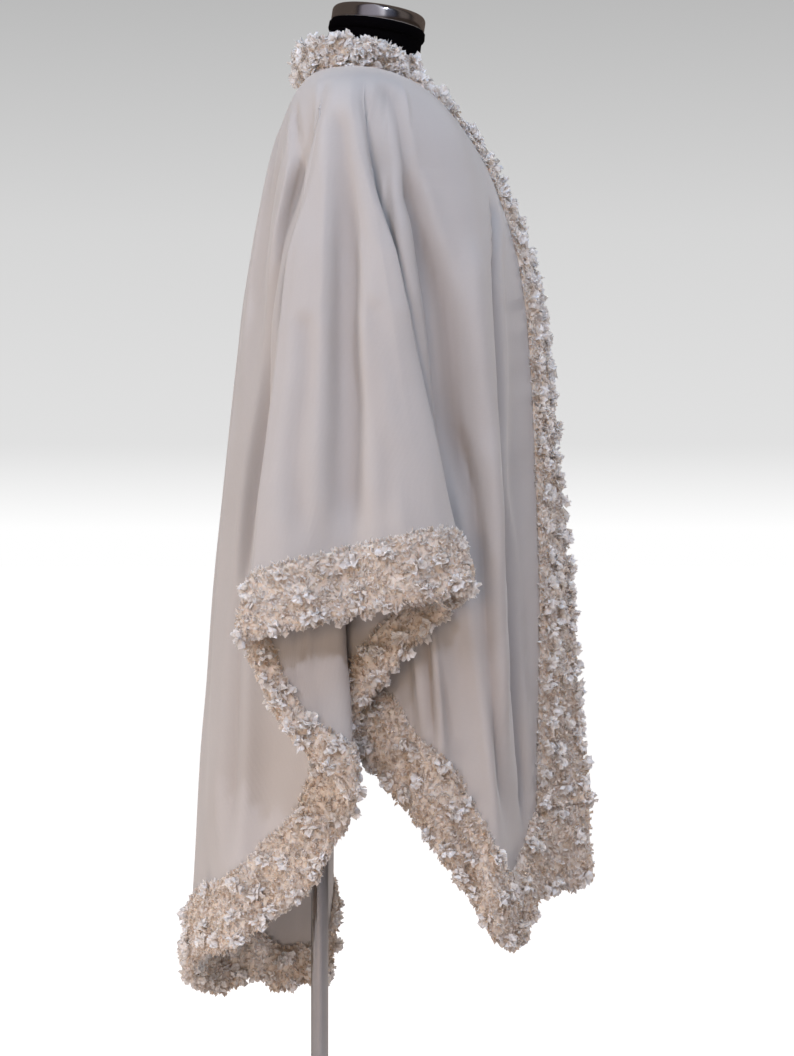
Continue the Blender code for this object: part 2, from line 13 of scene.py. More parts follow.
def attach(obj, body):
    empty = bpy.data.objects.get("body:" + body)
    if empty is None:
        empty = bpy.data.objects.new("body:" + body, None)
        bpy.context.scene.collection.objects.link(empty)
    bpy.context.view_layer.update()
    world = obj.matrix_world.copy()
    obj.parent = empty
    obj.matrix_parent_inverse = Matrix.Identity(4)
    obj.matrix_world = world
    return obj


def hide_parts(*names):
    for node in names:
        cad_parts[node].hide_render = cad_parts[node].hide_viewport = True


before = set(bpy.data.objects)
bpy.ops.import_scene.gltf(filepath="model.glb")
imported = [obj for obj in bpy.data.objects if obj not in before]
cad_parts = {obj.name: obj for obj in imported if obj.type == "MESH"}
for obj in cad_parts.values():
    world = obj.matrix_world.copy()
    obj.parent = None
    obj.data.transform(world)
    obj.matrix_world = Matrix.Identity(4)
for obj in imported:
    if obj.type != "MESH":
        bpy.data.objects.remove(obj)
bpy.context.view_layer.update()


# Camera and studio.
# The camera stands 3.1 m from the wearer's right side at mid height, with a long lens, as in the photo. The
# studio is a white floor that runs out to a pale grey wall, with soft lamps round the cape, cooler from above
# and warmer from the side, and a small key lamp that also gleams on the chrome.
CAMERA_DISTANCE = 3.1
CAMERA_UP = 0.913
CAMERA_FWD = 0.0679
LENS = 91.9

camera_data = bpy.data.cameras.new("camera")
camera_data.lens = LENS
camera_data.sensor_width = 36.0
camera = bpy.data.objects.new("camera", camera_data)
camera.location = (-CAMERA_DISTANCE, -CAMERA_FWD, CAMERA_UP)
camera.rotation_euler = (math.radians(90), 0.0, math.radians(-90))
bpy.context.scene.collection.objects.link(camera)
bpy.context.scene.camera = camera
bpy.context.scene.view_settings.view_transform = "Standard"


def aim(location, target):
    """Turn of a light that stands at a place and points at another."""
    return (Vector(target) - Vector(location)).to_track_quat("-Z", "Y").to_euler()


def add_light(name, location, target, size, watts, colour, mirrored=False):
    """A round area light. Only a mirrored one shows as a gleam on what is polished."""
    data = bpy.data.lights.new(name, "AREA")
    data.shape = "DISK"
    data.size = size
    data.energy = watts
    data.color = colour
    light = bpy.data.objects.new(name, data)
    light.location = location
    light.rotation_euler = aim(location, target)
    light.visible_glossy = mirrored
    bpy.context.scene.collection.objects.link(light)


MIDDLE = (0.0, -0.07, 0.95)
add_light("key", (-3.0, -1.25, 3.3), MIDDLE, 0.24, 39.0, (0.78, 0.83, 1.0), True)
add_light("top_softbox", (-1.8, 0.1, 3.7), MIDDLE, 1.3, 34.0, (0.52, 0.74, 1.0))
add_light("front_softbox", (-1.4, -2.2, 3.3), MIDDLE, 1.0, 10.0, (0.95, 0.95, 1.0))
add_light("back_softbox", (-0.7, 3.2, 1.7), MIDDLE, 1.4, 38.0, (1.0, 0.93, 0.89))
add_light("back_key", (-3.0, 1.9, 2.5), MIDDLE, 0.8, 27.0, (0.86, 0.88, 1.0))
add_light("camera_fill", (-3.4, 0.8, 1.2), MIDDLE, 1.2, 22.0, (1.0, 0.75, 0.54))
add_light("low_fill", (-0.55, 0.35, 0.12), (0.12, 0.16, 0.60), 0.3, 0.9, (1.0, 0.86, 0.78))
add_light("far_front_softbox", (1.5, -2.7, 1.9), MIDDLE, 1.2, 38.0, (1.0, 0.97, 0.96))
add_light("far_back_softbox", (2.3, 1.9, 2.3), MIDDLE, 1.2, 20.0, (1.0, 0.97, 0.95))


def new_material(name):
    """A new material, its nodes and its links. It starts with a Principled shader."""
    material = bpy.data.materials.new(name)
    material.use_nodes = True
    return material, material.node_tree.nodes, material.node_tree.links


def maths(tree, operation, a, b=None):
    """A Math node in a tree, fed by sockets or plain numbers."""
    node = tree.nodes.new("ShaderNodeMath")
    node.operation = operation
    for socket, value in zip(node.inputs, (a, b)):
        if value is None:
            continue
        if isinstance(value, (int, float)):
            socket.default_value = value
        else:
            tree.links.new(value, socket)
    return node.outputs[0]


def tone_ramp(tree, share, stops):
    """A colour ramp in a tree, from rows of place and colour."""
    node = tree.nodes.new("ShaderNodeValToRGB")
    tree.links.new(share, node.inputs["Fac"])
    elements = node.color_ramp.elements
    for number, (at, colour) in enumerate(stops):
        stop = elements[number] if number < 2 else elements.new(at)
        stop.position = at
        stop.color = (*colour, 1.0)
    return node.outputs["Color"]


FLOOR_RADIUS = 60.0
FLOOR_TONE = (0.62, 0.56, 0.52)
bpy.ops.mesh.primitive_circle_add(vertices=96, radius=FLOOR_RADIUS, fill_type="NGON", location=(0, 0, 0))
floor = bpy.context.object
floor.name = "studio_floor"
floor_white, nodes, links = new_material("studio_floor_white")
shader = nodes["Principled BSDF"]
shader.inputs["Base Color"].default_value = (*FLOOR_TONE, 1.0)
shader.inputs["Roughness"].default_value = 0.9
bright = nodes.new("ShaderNodeEmission")
both = nodes.new("ShaderNodeAddShader")
seen = nodes.new("ShaderNodeLightPath")
either = nodes.new("ShaderNodeMixShader")
links.new(shader.outputs[0], both.inputs[0])
links.new(bright.outputs[0], both.inputs[1])
links.new(seen.outputs["Is Camera Ray"], either.inputs["Fac"])
links.new(shader.outputs[0], either.inputs[1])
links.new(both.outputs[0], either.inputs[2])
links.new(either.outputs[0], nodes["Material Output"].inputs["Surface"])
floor.data.materials.append(floor_white)

# The wall behind is a sky that is white at the horizon and greyer higher up. AMBIENT is all that it adds
# to the lamps' light on the cape.
WALL_TONES = (
    # height of the line of sight, tone
    (0.000, 1.00),
    (0.012, 0.90),
    (0.030, 0.755),
    (0.110, 0.670),
    (0.200, 0.480),
)
AMBIENT = (0.045, 0.032, 0.026)
# Bright panels and dark gaps all round the studio, which show only as reflections in polished metal
SHINE_TONES = (
    # turn as a share of the full circle, colour
    (0.06, (0.115, 0.090, 0.078)),
    (0.33, (0.120, 0.094, 0.080)),
    (0.36, (0.035, 0.028, 0.030)),
    (0.39, (0.330, 0.300, 0.340)),
    (0.50, (0.420, 0.400, 0.460)),
    (0.535, (0.900, 0.880, 0.950)),
    (0.555, (0.150, 0.155, 0.200)),
    (0.60, (0.075, 0.080, 0.110)),
    (0.63, (0.020, 0.018, 0.020)),
    (0.66, (0.150, 0.125, 0.115)),
    (0.71, (0.140, 0.115, 0.105)),
    (0.74, (0.030, 0.026, 0.026)),
    (0.78, (0.130, 0.100, 0.085)),
)
world = bpy.data.worlds.new("studio")
bpy.context.scene.world = world
world.use_nodes = True
tree = world.node_tree
nodes, links = tree.nodes, tree.links
nodes.clear()
sight = nodes.new("ShaderNodeSeparateXYZ")
links.new(nodes.new("ShaderNodeTexCoord").outputs["Generated"], sight.inputs[0])
wall_tone = tone_ramp(tree, sight.outputs["Z"], [(at, (tone, tone, tone)) for at, tone in WALL_TONES])
behind = [maths(tree, "MULTIPLY", sight.outputs[axis], -1.0) for axis in "YX"]
turn = maths(tree, "MULTIPLY", maths(tree, "ARCTAN2", *behind), 1 / (2 * math.pi))
shine_tone = tone_ramp(tree, maths(tree, "ADD", turn, 0.5), SHINE_TONES)
wall, shine, ambient = (nodes.new("ShaderNodeBackground") for _ in range(3))
links.new(wall_tone, wall.inputs["Color"])
links.new(shine_tone, shine.inputs["Color"])
ambient.inputs["Color"].default_value = (*AMBIENT, 1.0)
seen = nodes.new("ShaderNodeLightPath")
either = nodes.new("ShaderNodeMixShader")
shiny = nodes.new("ShaderNodeMixShader")
links.new(seen.outputs["Is Glossy Ray"], shiny.inputs["Fac"])
links.new(ambient.outputs[0], shiny.inputs[1])
links.new(shine.outputs[0], shiny.inputs[2])
links.new(seen.outputs["Is Camera Ray"], either.inputs["Fac"])
links.new(shiny.outputs[0], either.inputs[1])
links.new(wall.outputs[0], either.inputs[2])
links.new(either.outputs[0], nodes.new("ShaderNodeOutputWorld").inputs["Surface"])


# Cape cloth.
# One rounded piece of cream wool, slit up the middle of the front and cut out for the neck. It hangs from
# the shoulders in the folds of the table, one row each for the wearer's right half, as the form under it
# and its own weight lay them. Places are fwd of the pole, out from the middle of the body, and up.
CLOTH_THICKNESS = 0.0018
SHOULDER_FWD = 0.020
YOKE = (
    # along, front, front_up, side, side_up, back, back_up
    (0.00, 0.072, 1.412, 0.074, 1.432, 0.060, 1.424),
    (0.20, 0.101, 1.385, 0.125, 1.421, 0.070, 1.395),
    (0.42, 0.128, 1.350, 0.174, 1.399, 0.082, 1.360),
    (0.70, 0.162, 1.300, 0.203, 1.337, 0.101, 1.308),
    (1.00, 0.189, 1.235, 0.214, 1.245, 0.1165, 1.245),
)
YOKE_ROUNDNESS = 2.25
SHOULDER_ALONG = 0.42
FOLDS_START_ALONG = 0.36
FOLDS = (
    # name, neck, shoulder, chest, tuck, belly, fwd, out, up, trim
    ("front_edge", 22, 13, 7, 0.001, 0.008, 0.2900, 0.026, 0.508, 1.00),
    ("front_border", 46, 30, 26, 0.000, 0.016, 0.2260, 0.080, 0.497, 1.00),
    ("bust_hollow", 50, 37, 36, -0.005, 0.004, 0.2040, 0.112, 0.452, 1.00),
    ("front_ridge", 55, 53, 52, 0.004, 0.012, 0.1800, 0.142, 0.462, 1.00),
    ("front_hollow", 60, 70, 69, -0.010, 0.004, 0.1530, 0.130, 0.502, 1.00),
    ("front_swell", 65, 74, 75, -0.002, 0.004, 0.1145, 0.144, 0.556, 1.00),
    ("side_front_hollow", 69, 77.5, 80, -0.014, 0.000, 0.0840, 0.124, 0.596, 1.00),
    ("side_front_swell", 72, 80, 84, -0.024, 0.000, 0.0500, 0.121, 0.636, 1.00),
    ("front_tuck_in", 74, 82, 88.8, -0.030, 0.000, 0.0130, 0.127, 0.672, 0.78),
    ("front_tuck_out", 76, 83.8, 88.8, -0.018, 0.000, 0.0130, 0.152, 0.690, 0.60),
    ("front_return", 78, 85.4, 84, -0.012, 0.000, 0.0640, 0.182, 0.764, 0.50),
    ("flap_front_in", 81, 87.4, 80.6, -0.004, 0.000, 0.1400, 0.204, 0.842, 0.55),
    ("flap_front_edge", 83, 89.6, 80.6, 0.009, 0.000, 0.1400, 0.228, 0.847, 0.95),
    ("flap_front_side", 86, 91.2, 84, 0.011, 0.003, 0.1080, 0.246, 0.840, 1.00),
    ("flap_front", 89, 93.0, 88, 0.006, 0.004, 0.0600, 0.250, 0.829, 1.00),
    ("flap_middle", 92, 94.6, 92.5, -0.003, -0.006, 0.0140, 0.238, 0.819, 1.00),
    ("flap_back", 96, 96.6, 98, 0.007, 0.003, -0.0300, 0.246, 0.810, 1.00),
    ("flap_back_edge", 100, 98.8, 106.5, 0.007, 0.002, -0.0950, 0.230, 0.797, 0.95),
    ("flap_back_in", 103.5, 101.0, 106.5, -0.006, 0.000, -0.0950, 0.206, 0.790, 0.62),
    ("back_return", 106, 103.2, 103, -0.013, 0.000, -0.0480, 0.198, 0.694, 0.29),
    ("back_tuck_out", 109, 105.2, 98.0, -0.020, 0.000, 0.0160, 0.192, 0.630, 0.48),
    ("back_tuck_in", 111.5, 107.2, 98.0, -0.031, 0.000, 0.0160, 0.168, 0.604, 0.66),
    ("side_back_hollow", 115, 110, 110, -0.030, 0.000, -0.0060, 0.154, 0.560, 1.00),
    ("side_back_swell", 120, 113, 119, -0.008, 0.002, -0.0280, 0.148, 0.520, 1.00),
    ("back_hollow", 130, 122, 129, -0.012, 0.004, -0.0680, 0.128, 0.486, 1.00),
    ("back_ridge", 143, 135, 142, 0.001, 0.010, -0.1110, 0.120, 0.452, 1.00),
    ("back_side", 160, 156, 159, -0.002, 0.008, -0.1540, 0.066, 0.436, 1.00),
    ("back_middle", 180, 180, 180, 0.000, 0.010, -0.1740, 0.000, 0.404, 1.00),
)
LEFT_HANG = (
    # name, fwd, out, up
    ("front_edge", -0.006, 0.002, 0.004),
    ("front_border", -0.008, 0.006, 0.008),
    ("bust_hollow", 0.000, 0.004, 0.026),
    ("front_ridge", -0.006, -0.004, 0.020),
    ("front_swell", 0.006, -0.004, -0.008),
    ("side_front_swell", 0.004, 0.002, 0.010),
    ("flap_front", -0.006, -0.004, -0.006),
    ("flap_middle", 0.004, 0.006, 0.006),
    ("flap_back", 0.006, -0.003, 0.008),
    ("flap_back_edge", 0.006, 0.000, 0.000),
    ("flap_back_in", 0.008, 0.000, -0.020),
    ("back_return", 0.000, 0.000, -0.140),
    ("back_tuck_out", -0.032, 0.000, -0.205),
    ("back_tuck_in", -0.037, 0.000, -0.232),
    ("side_back_hollow", -0.042, 0.000, -0.194),
    ("side_back_swell", -0.046, 0.000, -0.162),
    ("back_hollow", -0.034, 0.004, -0.108),
    ("back_ridge", -0.026, 0.000, -0.090),
    ("back_side", -0.011, 0.000, -0.058),
)
BELLY_ALONG = 0.40
KNOTS = np.array((0.0, 0.07, 0.147, 0.245, 0.33, 0.60, 1.0))
TRIM_WIDTH = 0.070
NECK_EDGE = (
    # fwd, out, up of the free edge of the neck border, from the front to the middle of the back
    (0.0920, 0.030, 1.436),
    (0.0720, 0.066, 1.448),
    (0.0350, 0.084, 1.458),
    (-0.0120, 0.073, 1.461),
    (-0.0400, 0.000, 1.461),
)


def place(fwd, out, up, side):
    """A point from its measures forward, out and up. Side is -1 on the wearer's right and 1 on the left."""
    return np.array((side * out, -fwd, up))


def smooth_step(value):
    """0 below 0 and 1 above 1, with a soft rise between."""
    t = np.clip(value, 0.0, 1.0)
    return t * t * (3.0 - 2.0 * t)


def unit(vectors):
    """The same directions, each of length 1."""
    return vectors / np.maximum(np.linalg.norm(vectors, axis=-1, keepdims=True), 1e-12)


def hermite(t, start, leave, end, arrive):
    """Smooth run from start to end as t goes from 0 to 1, with the slopes that it leaves and arrives with."""
    return (
        (2 * t**3 - 3 * t**2 + 1) * start
        + (t**3 - 2 * t**2 + t) * leave
        + (3 * t**2 - 2 * t**3) * end
        + (t**3 - t**2) * arrive
    )


def curve_through(knots, values, at):
    """Smooth curve through the values at the knots, read at one or many places."""
    knots, values, at = np.asarray(knots, float), np.asarray(values, float), np.asarray(at, float)
    slopes = np.gradient(values, knots, axis=0)
    index = np.clip(np.searchsorted(knots, at, side="right") - 1, 0, len(knots) - 2)
    span = np.diff(knots)[index]
    t = (at - knots[index]) / span
    if values.ndim > 1:
        t, span = t[..., None], span[..., None]
    return hermite(t, values[index], slopes[index] * span, values[index + 1], slopes[index + 1] * span)


def yoke_reach(along, degrees):
    """How far out from the shoulders' middle the cloth lies in a direction, and how high."""
    front, front_up, side, side_up, back, back_up = curve_through(
        [row[0] for row in YOKE], [row[1:] for row in YOKE], along
    )
    ahead, across = math.cos(math.radians(degrees)), math.sin(math.radians(degrees))
    depth, depth_up = (front, front_up) if ahead >= 0 else (back, back_up)
    reach = (abs(ahead) / depth) ** YOKE_ROUNDNESS + (abs(across) / side) ** YOKE_ROUNDNESS
    return reach ** (-1.0 / YOKE_ROUNDNESS), depth_up * ahead**2 + side_up * across**2


def fold_points(fold, side):
    """Five points of a fold on the shoulders, its belly, and its end on the free edge of the border."""
    name, neck, shoulder, chest, tuck, belly, fwd, out, up, _ = fold
    if side > 0:
        for changed, fwd_move, out_move, up_move in LEFT_HANG:
            if changed == name:
                fwd, out, up = fwd + fwd_move, out + out_move, up + up_move
    points = []
    for along in [row[0] for row in YOKE]:
        degrees = float(curve_through((0.0, SHOULDER_ALONG, 1.0), (neck, shoulder, chest), along))
        reach, height = yoke_reach(along, degrees)
        reach += tuck * smooth_step((along - FOLDS_START_ALONG) / (1.0 - FOLDS_START_ALONG))
        turn = math.radians(degrees)
        points.append(place(SHOULDER_FWD + reach * math.cos(turn), reach * math.sin(turn), height, side))
    if name == "front_edge":
        points[0] = place(*NECK_EDGE[0], side)
    hem = place(fwd, out, up, side)
    middle = points[-1] * (1 - BELLY_ALONG) + hem * BELLY_ALONG
    outward = middle - place(SHOULDER_FWD, 0.0, middle[2], side)
    return points + [middle + belly * unit(outward), hem]


FOLD_POINTS = np.array([fold_points(f, -1) for f in FOLDS] + [fold_points(f, 1) for f in FOLDS[-2::-1]])
FOLD_SLOPES = np.gradient(FOLD_POINTS, KNOTS, axis=1)
LEFT_NARROWER = ("back_tuck_in", "side_back_hollow", "side_back_swell", "back_hollow", "back_ridge")
LEFT_NARROWER_SHARE = 0.62
TRIM_SHARES = [fold[-1] for fold in FOLDS]
for left_fold in FOLDS[-2::-1]:
    TRIM_SHARES.append(left_fold[-1] * (LEFT_NARROWER_SHARE if left_fold[0] in LEFT_NARROWER else 1.0))
LAST_FOLD = len(FOLD_POINTS) - 1
MIDDLE_FOLD = LAST_FOLD // 2


def folded_surface(u, v):
    """The cloth as the table of folds lays it: u in fold numbers from the right front edge, v down."""
    u, v = np.broadcast_arrays(np.asarray(u, float), np.asarray(v, float))
    fold = np.clip(np.floor(u).astype(int), 0, LAST_FOLD - 1)
    t = (u - fold)[..., None]
    index = np.clip(np.searchsorted(KNOTS, v, side="right") - 1, 0, len(KNOTS) - 2)
    span = np.diff(KNOTS)[index][..., None]
    down = (v - KNOTS[index])[..., None] / span
    lines = []
    for k in (-1, 0, 1, 2):
        row = np.clip(fold + k, 0, LAST_FOLD)
        start, end = FOLD_POINTS[row, index], FOLD_POINTS[row, index + 1]
        leave, arrive = FOLD_SLOPES[row, index] * span, FOLD_SLOPES[row, index + 1] * span
        lines.append(hermite(down, start, leave, end, arrive))
    before, near, far, after = lines
    before = np.where((fold == 0)[..., None], 2 * near - far, before)
    after = np.where((fold == LAST_FOLD - 1)[..., None], 2 * far - near, after)
    gaps = [np.sqrt(np.maximum(np.linalg.norm(b - a, axis=-1, keepdims=True), 1e-9))
            for a, b in ((before, near), (near, far), (far, after))]
    chords = [(near - before) / gaps[0], (far - near) / gaps[1], (after - far) / gaps[2]]
    leave = chords[0] - (far - before) / (gaps[0] + gaps[1]) + chords[1]
    arrive = chords[1] - (after - near) / (gaps[1] + gaps[2]) + chords[2]
    return hermite(t, near, leave * gaps[1], far, arrive * gaps[1])


# The cloth leaves each shoulder in three smooth panels, before, over and behind the flap
SMOOTH_PANELS = (
    # v where it is smooth from and to, v where that has faded, rows of v and the u of both its edges
    (0.080, 0.220, 0.310, ((0.045, 6.9, 9.9), (0.150, 6.7, 10.1), (0.310, 6.4, 10.8))),
    (0.080, 0.250, 0.380, (
        (0.045, 9.9, 18.1), (0.150, 10.1, 17.9), (0.310, 10.8, 17.6), (0.380, 11.3, 17.3),
    )),
    (0.080, 0.200, 0.290, ((0.045, 18.1, 23.0), (0.150, 17.9, 23.2), (0.290, 17.6, 23.4))),
)
PANEL_STEPS = 50
PANEL_SHARES = np.array((0.2, 0.35, 0.5, 0.65, 0.8))


def panel_lines(edges, flip):
    """Both edges of a panel at close steps down, and how far the cloth bulges between them."""
    v = np.linspace(edges[0][0], edges[-1][0], PANEL_STEPS)
    before, behind = (np.interp(v, [row[0] for row in edges], [row[k] for row in edges]) for k in (1, 2))
    across = before[:, None] + (behind - before)[:, None] * PANEL_SHARES
    ends = [folded_surface(abs(flip - edge), v) for edge in (before, behind)]
    inside = folded_surface(abs(flip - across), np.broadcast_to(v[:, None], across.shape))
    chord = ends[0][:, None] + (ends[1] - ends[0])[:, None] * PANEL_SHARES[:, None]
    bulge = (inside - chord).mean(1) / (4 * PANEL_SHARES * (1 - PANEL_SHARES)).mean()
    return v, before, behind, ends[0], ends[1], bulge


PANEL_LINES = [
    (full, smooth_to, faded, flip, panel_lines(edges, flip))
    for full, smooth_to, faded, edges in SMOOTH_PANELS for flip in (0, LAST_FOLD)
]


def smooth_surface(u, v):
    """The cloth without its creases: the folds of the table, with the panels on the shoulders laid smooth."""
    u, v = np.broadcast_arrays(np.asarray(u, float), np.asarray(v, float))
    folded = folded_surface(u, v)
    point = folded
    for full, smooth_to, faded, flip, (steps, *lines) in PANEL_LINES:
        fade = smooth_step((v - steps[0]) / (full - steps[0]))
        fade = fade * smooth_step((faded - v) / (faded - smooth_to))
        if not fade.any():
            continue
        before, behind = (np.interp(v, steps, line) for line in lines[:2])
        start, end, bulge = (
            np.stack([np.interp(v, steps, line[:, k]) for k in range(3)], -1) for line in lines[2:]
        )
        t = np.clip((abs(flip - u) - before) / (behind - before), 0.0, 1.0)[..., None]
        smooth = start + (end - start) * t + bulge * 4 * t * (1 - t)
        point = point + (smooth - folded) * fade[..., None] * ((t > 0) & (t < 1))
    return point


def frame_of(points_at, u, v, du=0.04, dv=0.012):
    """Points of a surface with its unit directions across, down and outward."""
    across = unit(points_at(np.minimum(u + du, LAST_FOLD), v) - points_at(np.maximum(u - du, 0.0), v))
    down = unit(points_at(u, np.minimum(v + dv, 1.0)) - points_at(u, np.maximum(v - dv, 0.0)))
    return points_at(u, v), across, down, unit(np.cross(across, down))


def trim_start(u):
    """How far down the cloth the hem border starts, so that it is TRIM_WIDTH wide square to the hem."""
    u = np.clip(u, 1.0, LAST_FOLD - 1.0)
    total = 0.0
    for shift in (-0.5, -0.25, 0.0, 0.25, 0.5):
        at = np.clip(u + shift, 1.0, LAST_FOLD - 1.0)
        along = smooth_surface(np.minimum(at + 0.05, LAST_FOLD), 1.0) - smooth_surface(at - 0.05, 1.0)
        down = smooth_surface(at, 1.0) - smooth_surface(at, 0.9)
        slant = np.linalg.norm(np.cross(unit(along), unit(down)), axis=-1)
        width = np.interp(at, range(LAST_FOLD + 1), TRIM_SHARES) * TRIM_WIDTH
        total = total + width / np.maximum(slant, 0.55) / (np.linalg.norm(down, axis=-1) / 0.1)
    return 1.0 - total / 5


def value_noise(seed, *places):
    """Smooth random values from -1 to 1 over two coordinates whose unit is the size of the patches."""
    table = np.random.default_rng(seed).uniform(-1.0, 1.0, (64, 64))
    a, b = np.broadcast_arrays(*places)
    ia, ib = np.floor(a).astype(int), np.floor(b).astype(int)
    ta, tb = smooth_step(a - ia), smooth_step(b - ib)
    corner = [[table[(ia + i) % 64, (ib + j) % 64] for j in (0, 1)] for i in (0, 1)]
    near = corner[0][0] * (1 - tb) + corner[0][1] * tb
    far = corner[1][0] * (1 - tb) + corner[1][1] * tb
    return near * (1 - ta) + far * ta


# The creases that the folds' table is too coarse for: soft troughs (depth above 0) and ridges (below 0),
# each along a path of places (u, v) down the cloth. Widths and depths are in millimetres.
CREASES = (
    # path, depth, width at its top, width at its foot
    (((18.0, 0.125), (17.85, 0.19), (17.65, 0.29), (17.9, 0.40)), 2.2, 6, 9),
    (((10.0, 0.125), (10.3, 0.20), (10.8, 0.30), (11.1, 0.40)), 1.6, 7, 9),
    (((23.5, 0.16), (22.9, 0.22), (22.0, 0.29)), 5.0, 6, 7),
    (((24.9, 0.17), (24.6, 0.24), (24.4, 0.36)), 4.0, 6, 8),
    (((23.8, 0.24), (24.3, 0.36), (24.8, 0.48)), 3.5, 8, 10),
    (((25.1, 0.66), (25.1, 0.82), (25.3, 0.93)), 6.5, 9, 13),
    ((
        (21.8, 0.25), (22.4, 0.304), (23.05, 0.367), (23.5, 0.436),
        (23.95, 0.50), (24.5, 0.562), (24.8, 0.64), (24.95, 0.72),
    ), 9.0, 6, 8),
    (((25.6, 0.50), (25.8, 0.70), (25.9, 0.92)), -5.0, 18, 22),
    (((26.6, 0.40), (26.6, 0.80)), 4.0, 16, 24),
    (((15.0, 0.20), (14.8, 0.50), (14.85, 0.88)), 7.0, 13, 19),
    (((16.35, 0.46), (16.2, 0.89)), 5.0, 9, 13),
    (((13.8, 0.44), (13.9, 0.88)), 3.5, 10, 15),
    (((12.5, 0.34), (12.3, 0.60), (12.2, 0.86)), -2.5, 10, 15),
    (((14.2, 0.34), (14.1, 0.87)), -3.0, 12, 16),
    (((17.6, 0.34), (17.5, 0.60), (17.6, 0.84)), -2.0, 9, 12),
    (((6.2, 0.135), (5.6, 0.17), (4.9, 0.225), (4.5, 0.275), (4.1, 0.33)), 6.0, 9, 12),
    (((4.3, 0.27), (3.75, 0.42), (3.6, 0.55), (3.4, 0.62)), 13.0, 12, 14),
    (((3.6, 0.52), (3.4, 0.62), (3.2, 0.725), (2.95, 0.79), (2.55, 0.91)), 11.0, 9, 11),
    (((4.9, 0.30), (4.5, 0.50), (4.4, 0.70)), -6.0, 13, 17),
    (((1.9, 0.28), (2.5, 0.38), (2.6, 0.55), (2.4, 0.66)), 11.0, 6, 9),
    (((2.5, 0.57), (2.1, 0.725), (1.85, 0.79), (1.5, 0.93)), 11.0, 7, 9),
    (((3.1, 0.34), (3.0, 0.60), (2.75, 0.84)), -6.5, 13, 14),
    (((5.3, 0.70), (5.15, 0.80), (5.0, 0.92)), 11.5, 7, 10),
    (((6.0, 0.72), (5.85, 0.86)), 5.0, 6, 8),
    (((4.4, 0.78), (4.35, 0.92)), 3.5, 9, 13),
    (((6.3, 0.40), (6.2, 0.62), (6.1, 0.74)), -3.0, 16, 20),
    (((19.35, 0.80), (19.27, 0.86), (19.2, 0.885), (19.02, 0.935)), 6.0, 5, 7),
    (((19.0, 0.885), (19.25, 0.915), (19.5, 0.950)), 4.0, 5, 7),
    (((20.3, 0.76), (20.2, 0.90)), -2.5, 10, 12),
)
# The left side's creases are the right side's, moved (by parts of a fold) and made deeper or softer in turn
LEFT_MOVE = (0.10, -0.14, 0.05, -0.08, 0.16)
LEFT_DEPTH = (1.15, 0.80, 1.0, 0.70, 1.25)


def both_sides(creases):
    """The right side's creases and their likes on the left side."""
    made = list(creases)
    for number, (path, depth, width_top, width_low) in enumerate(creases):
        move = LEFT_MOVE[number % len(LEFT_MOVE)]
        share = LEFT_DEPTH[number % len(LEFT_DEPTH)]
        moved = [(LAST_FOLD - u + move, v + abs(move) / 8) for u, v in path]
        made.append((moved, depth * share, width_top, width_low))
    return made


ALL_CREASES = both_sides(CREASES)


# A crease is a dip with a low ridge on either side: the ridges' height as a share of the dip's depth, and how
# far out they lie and how wide they are as shares of its width
RIDGE_SHARE = 0.32
RIDGE_OUT = 2.1
RIDGE_WIDTH = 0.9
# A crease fades in and out over these lengths of v, and wanders a little from its path below WANDER_FROM
FADE_IN = 0.04
FADE_OUT = 0.09
WANDER = 0.05
WANDER_FROM = 0.25
PATH_SOFTENING = (-0.03, -0.015, 0.0, 0.015, 0.03)
WAVES = (
    # seed, height, patches a fold, their slant, patches down the cloth, only near the hem
    (3, 0.0018, 0.55, 0.0, 3.4, False),
    (4, 0.0007, 1.30, 0.0, 11.0, False),
    (5, 0.0034, 1.35, 1.0, 2.0, True),
    (6, 0.0016, 3.10, 0.0, 6.0, True),
)
# v where the waves start and the length of v over which they grow, and how far above the hem border, in v,
# the hem's own waves start
WAVES_START = 0.12
WAVES_GROW = 0.25
HEM_WAVES_REACH = 0.17


def relief(u, v):
    """How far the creases and the cloth's own waviness raise it, and how deep its creases are, in metres."""
    u, v = np.broadcast_arrays(np.asarray(u, float), np.asarray(v, float))
    near = smooth_surface(np.minimum(u + 0.1, LAST_FOLD), v) - smooth_surface(np.maximum(u - 0.1, 0.0), v)
    metres = np.linalg.norm(near, axis=-1) / 0.2
    raised, deepest = np.zeros(u.shape), np.zeros(u.shape)
    for number, (path, depth, width_top, width_low) in enumerate(ALL_CREASES):
        path_u, path_v = zip(*path)
        line = sum(np.interp(v + shift, path_v, path_u) for shift in PATH_SOFTENING) / len(PATH_SOFTENING)
        line = line + WANDER * np.sin(v * 22.0 + number * 1.7) * smooth_step((v - WANDER_FROM) / 0.1)
        along = np.clip((v - path_v[0]) / (path_v[-1] - path_v[0]), 0.0, 1.0)
        width = (width_top + (width_low - width_top) * along) / 1000
        away = (u - line) * metres / width
        ends = smooth_step((v - path_v[0]) / FADE_IN) * smooth_step((path_v[-1] - v) / FADE_OUT)
        dip = np.exp(-away**2) - RIDGE_SHARE * np.exp(-((np.abs(away) - RIDGE_OUT) / RIDGE_WIDTH) ** 2)
        raised -= depth / 1000 * ends * dip
        deepest = np.maximum(deepest, depth / 1000 * ends * np.exp(-away**2))
    drape = smooth_step((v - WAVES_START) / WAVES_GROW)
    hem = smooth_step((v - (trim_start(u) - HEM_WAVES_REACH)) / HEM_WAVES_REACH)
    for seed, height, a_fold, slant, a_length, at_hem in WAVES:
        waves = value_noise(seed, u * a_fold + v * slant, v * a_length)
        raised += height * (hem if at_hem else drape) * waves
    return raised, deepest


def cloth_surface(u, v):
    """The outer face of the cloth, with its creases and waves."""
    point, _, _, normal = frame_of(smooth_surface, u, v)
    return point + normal * relief(u, v)[0][..., None]


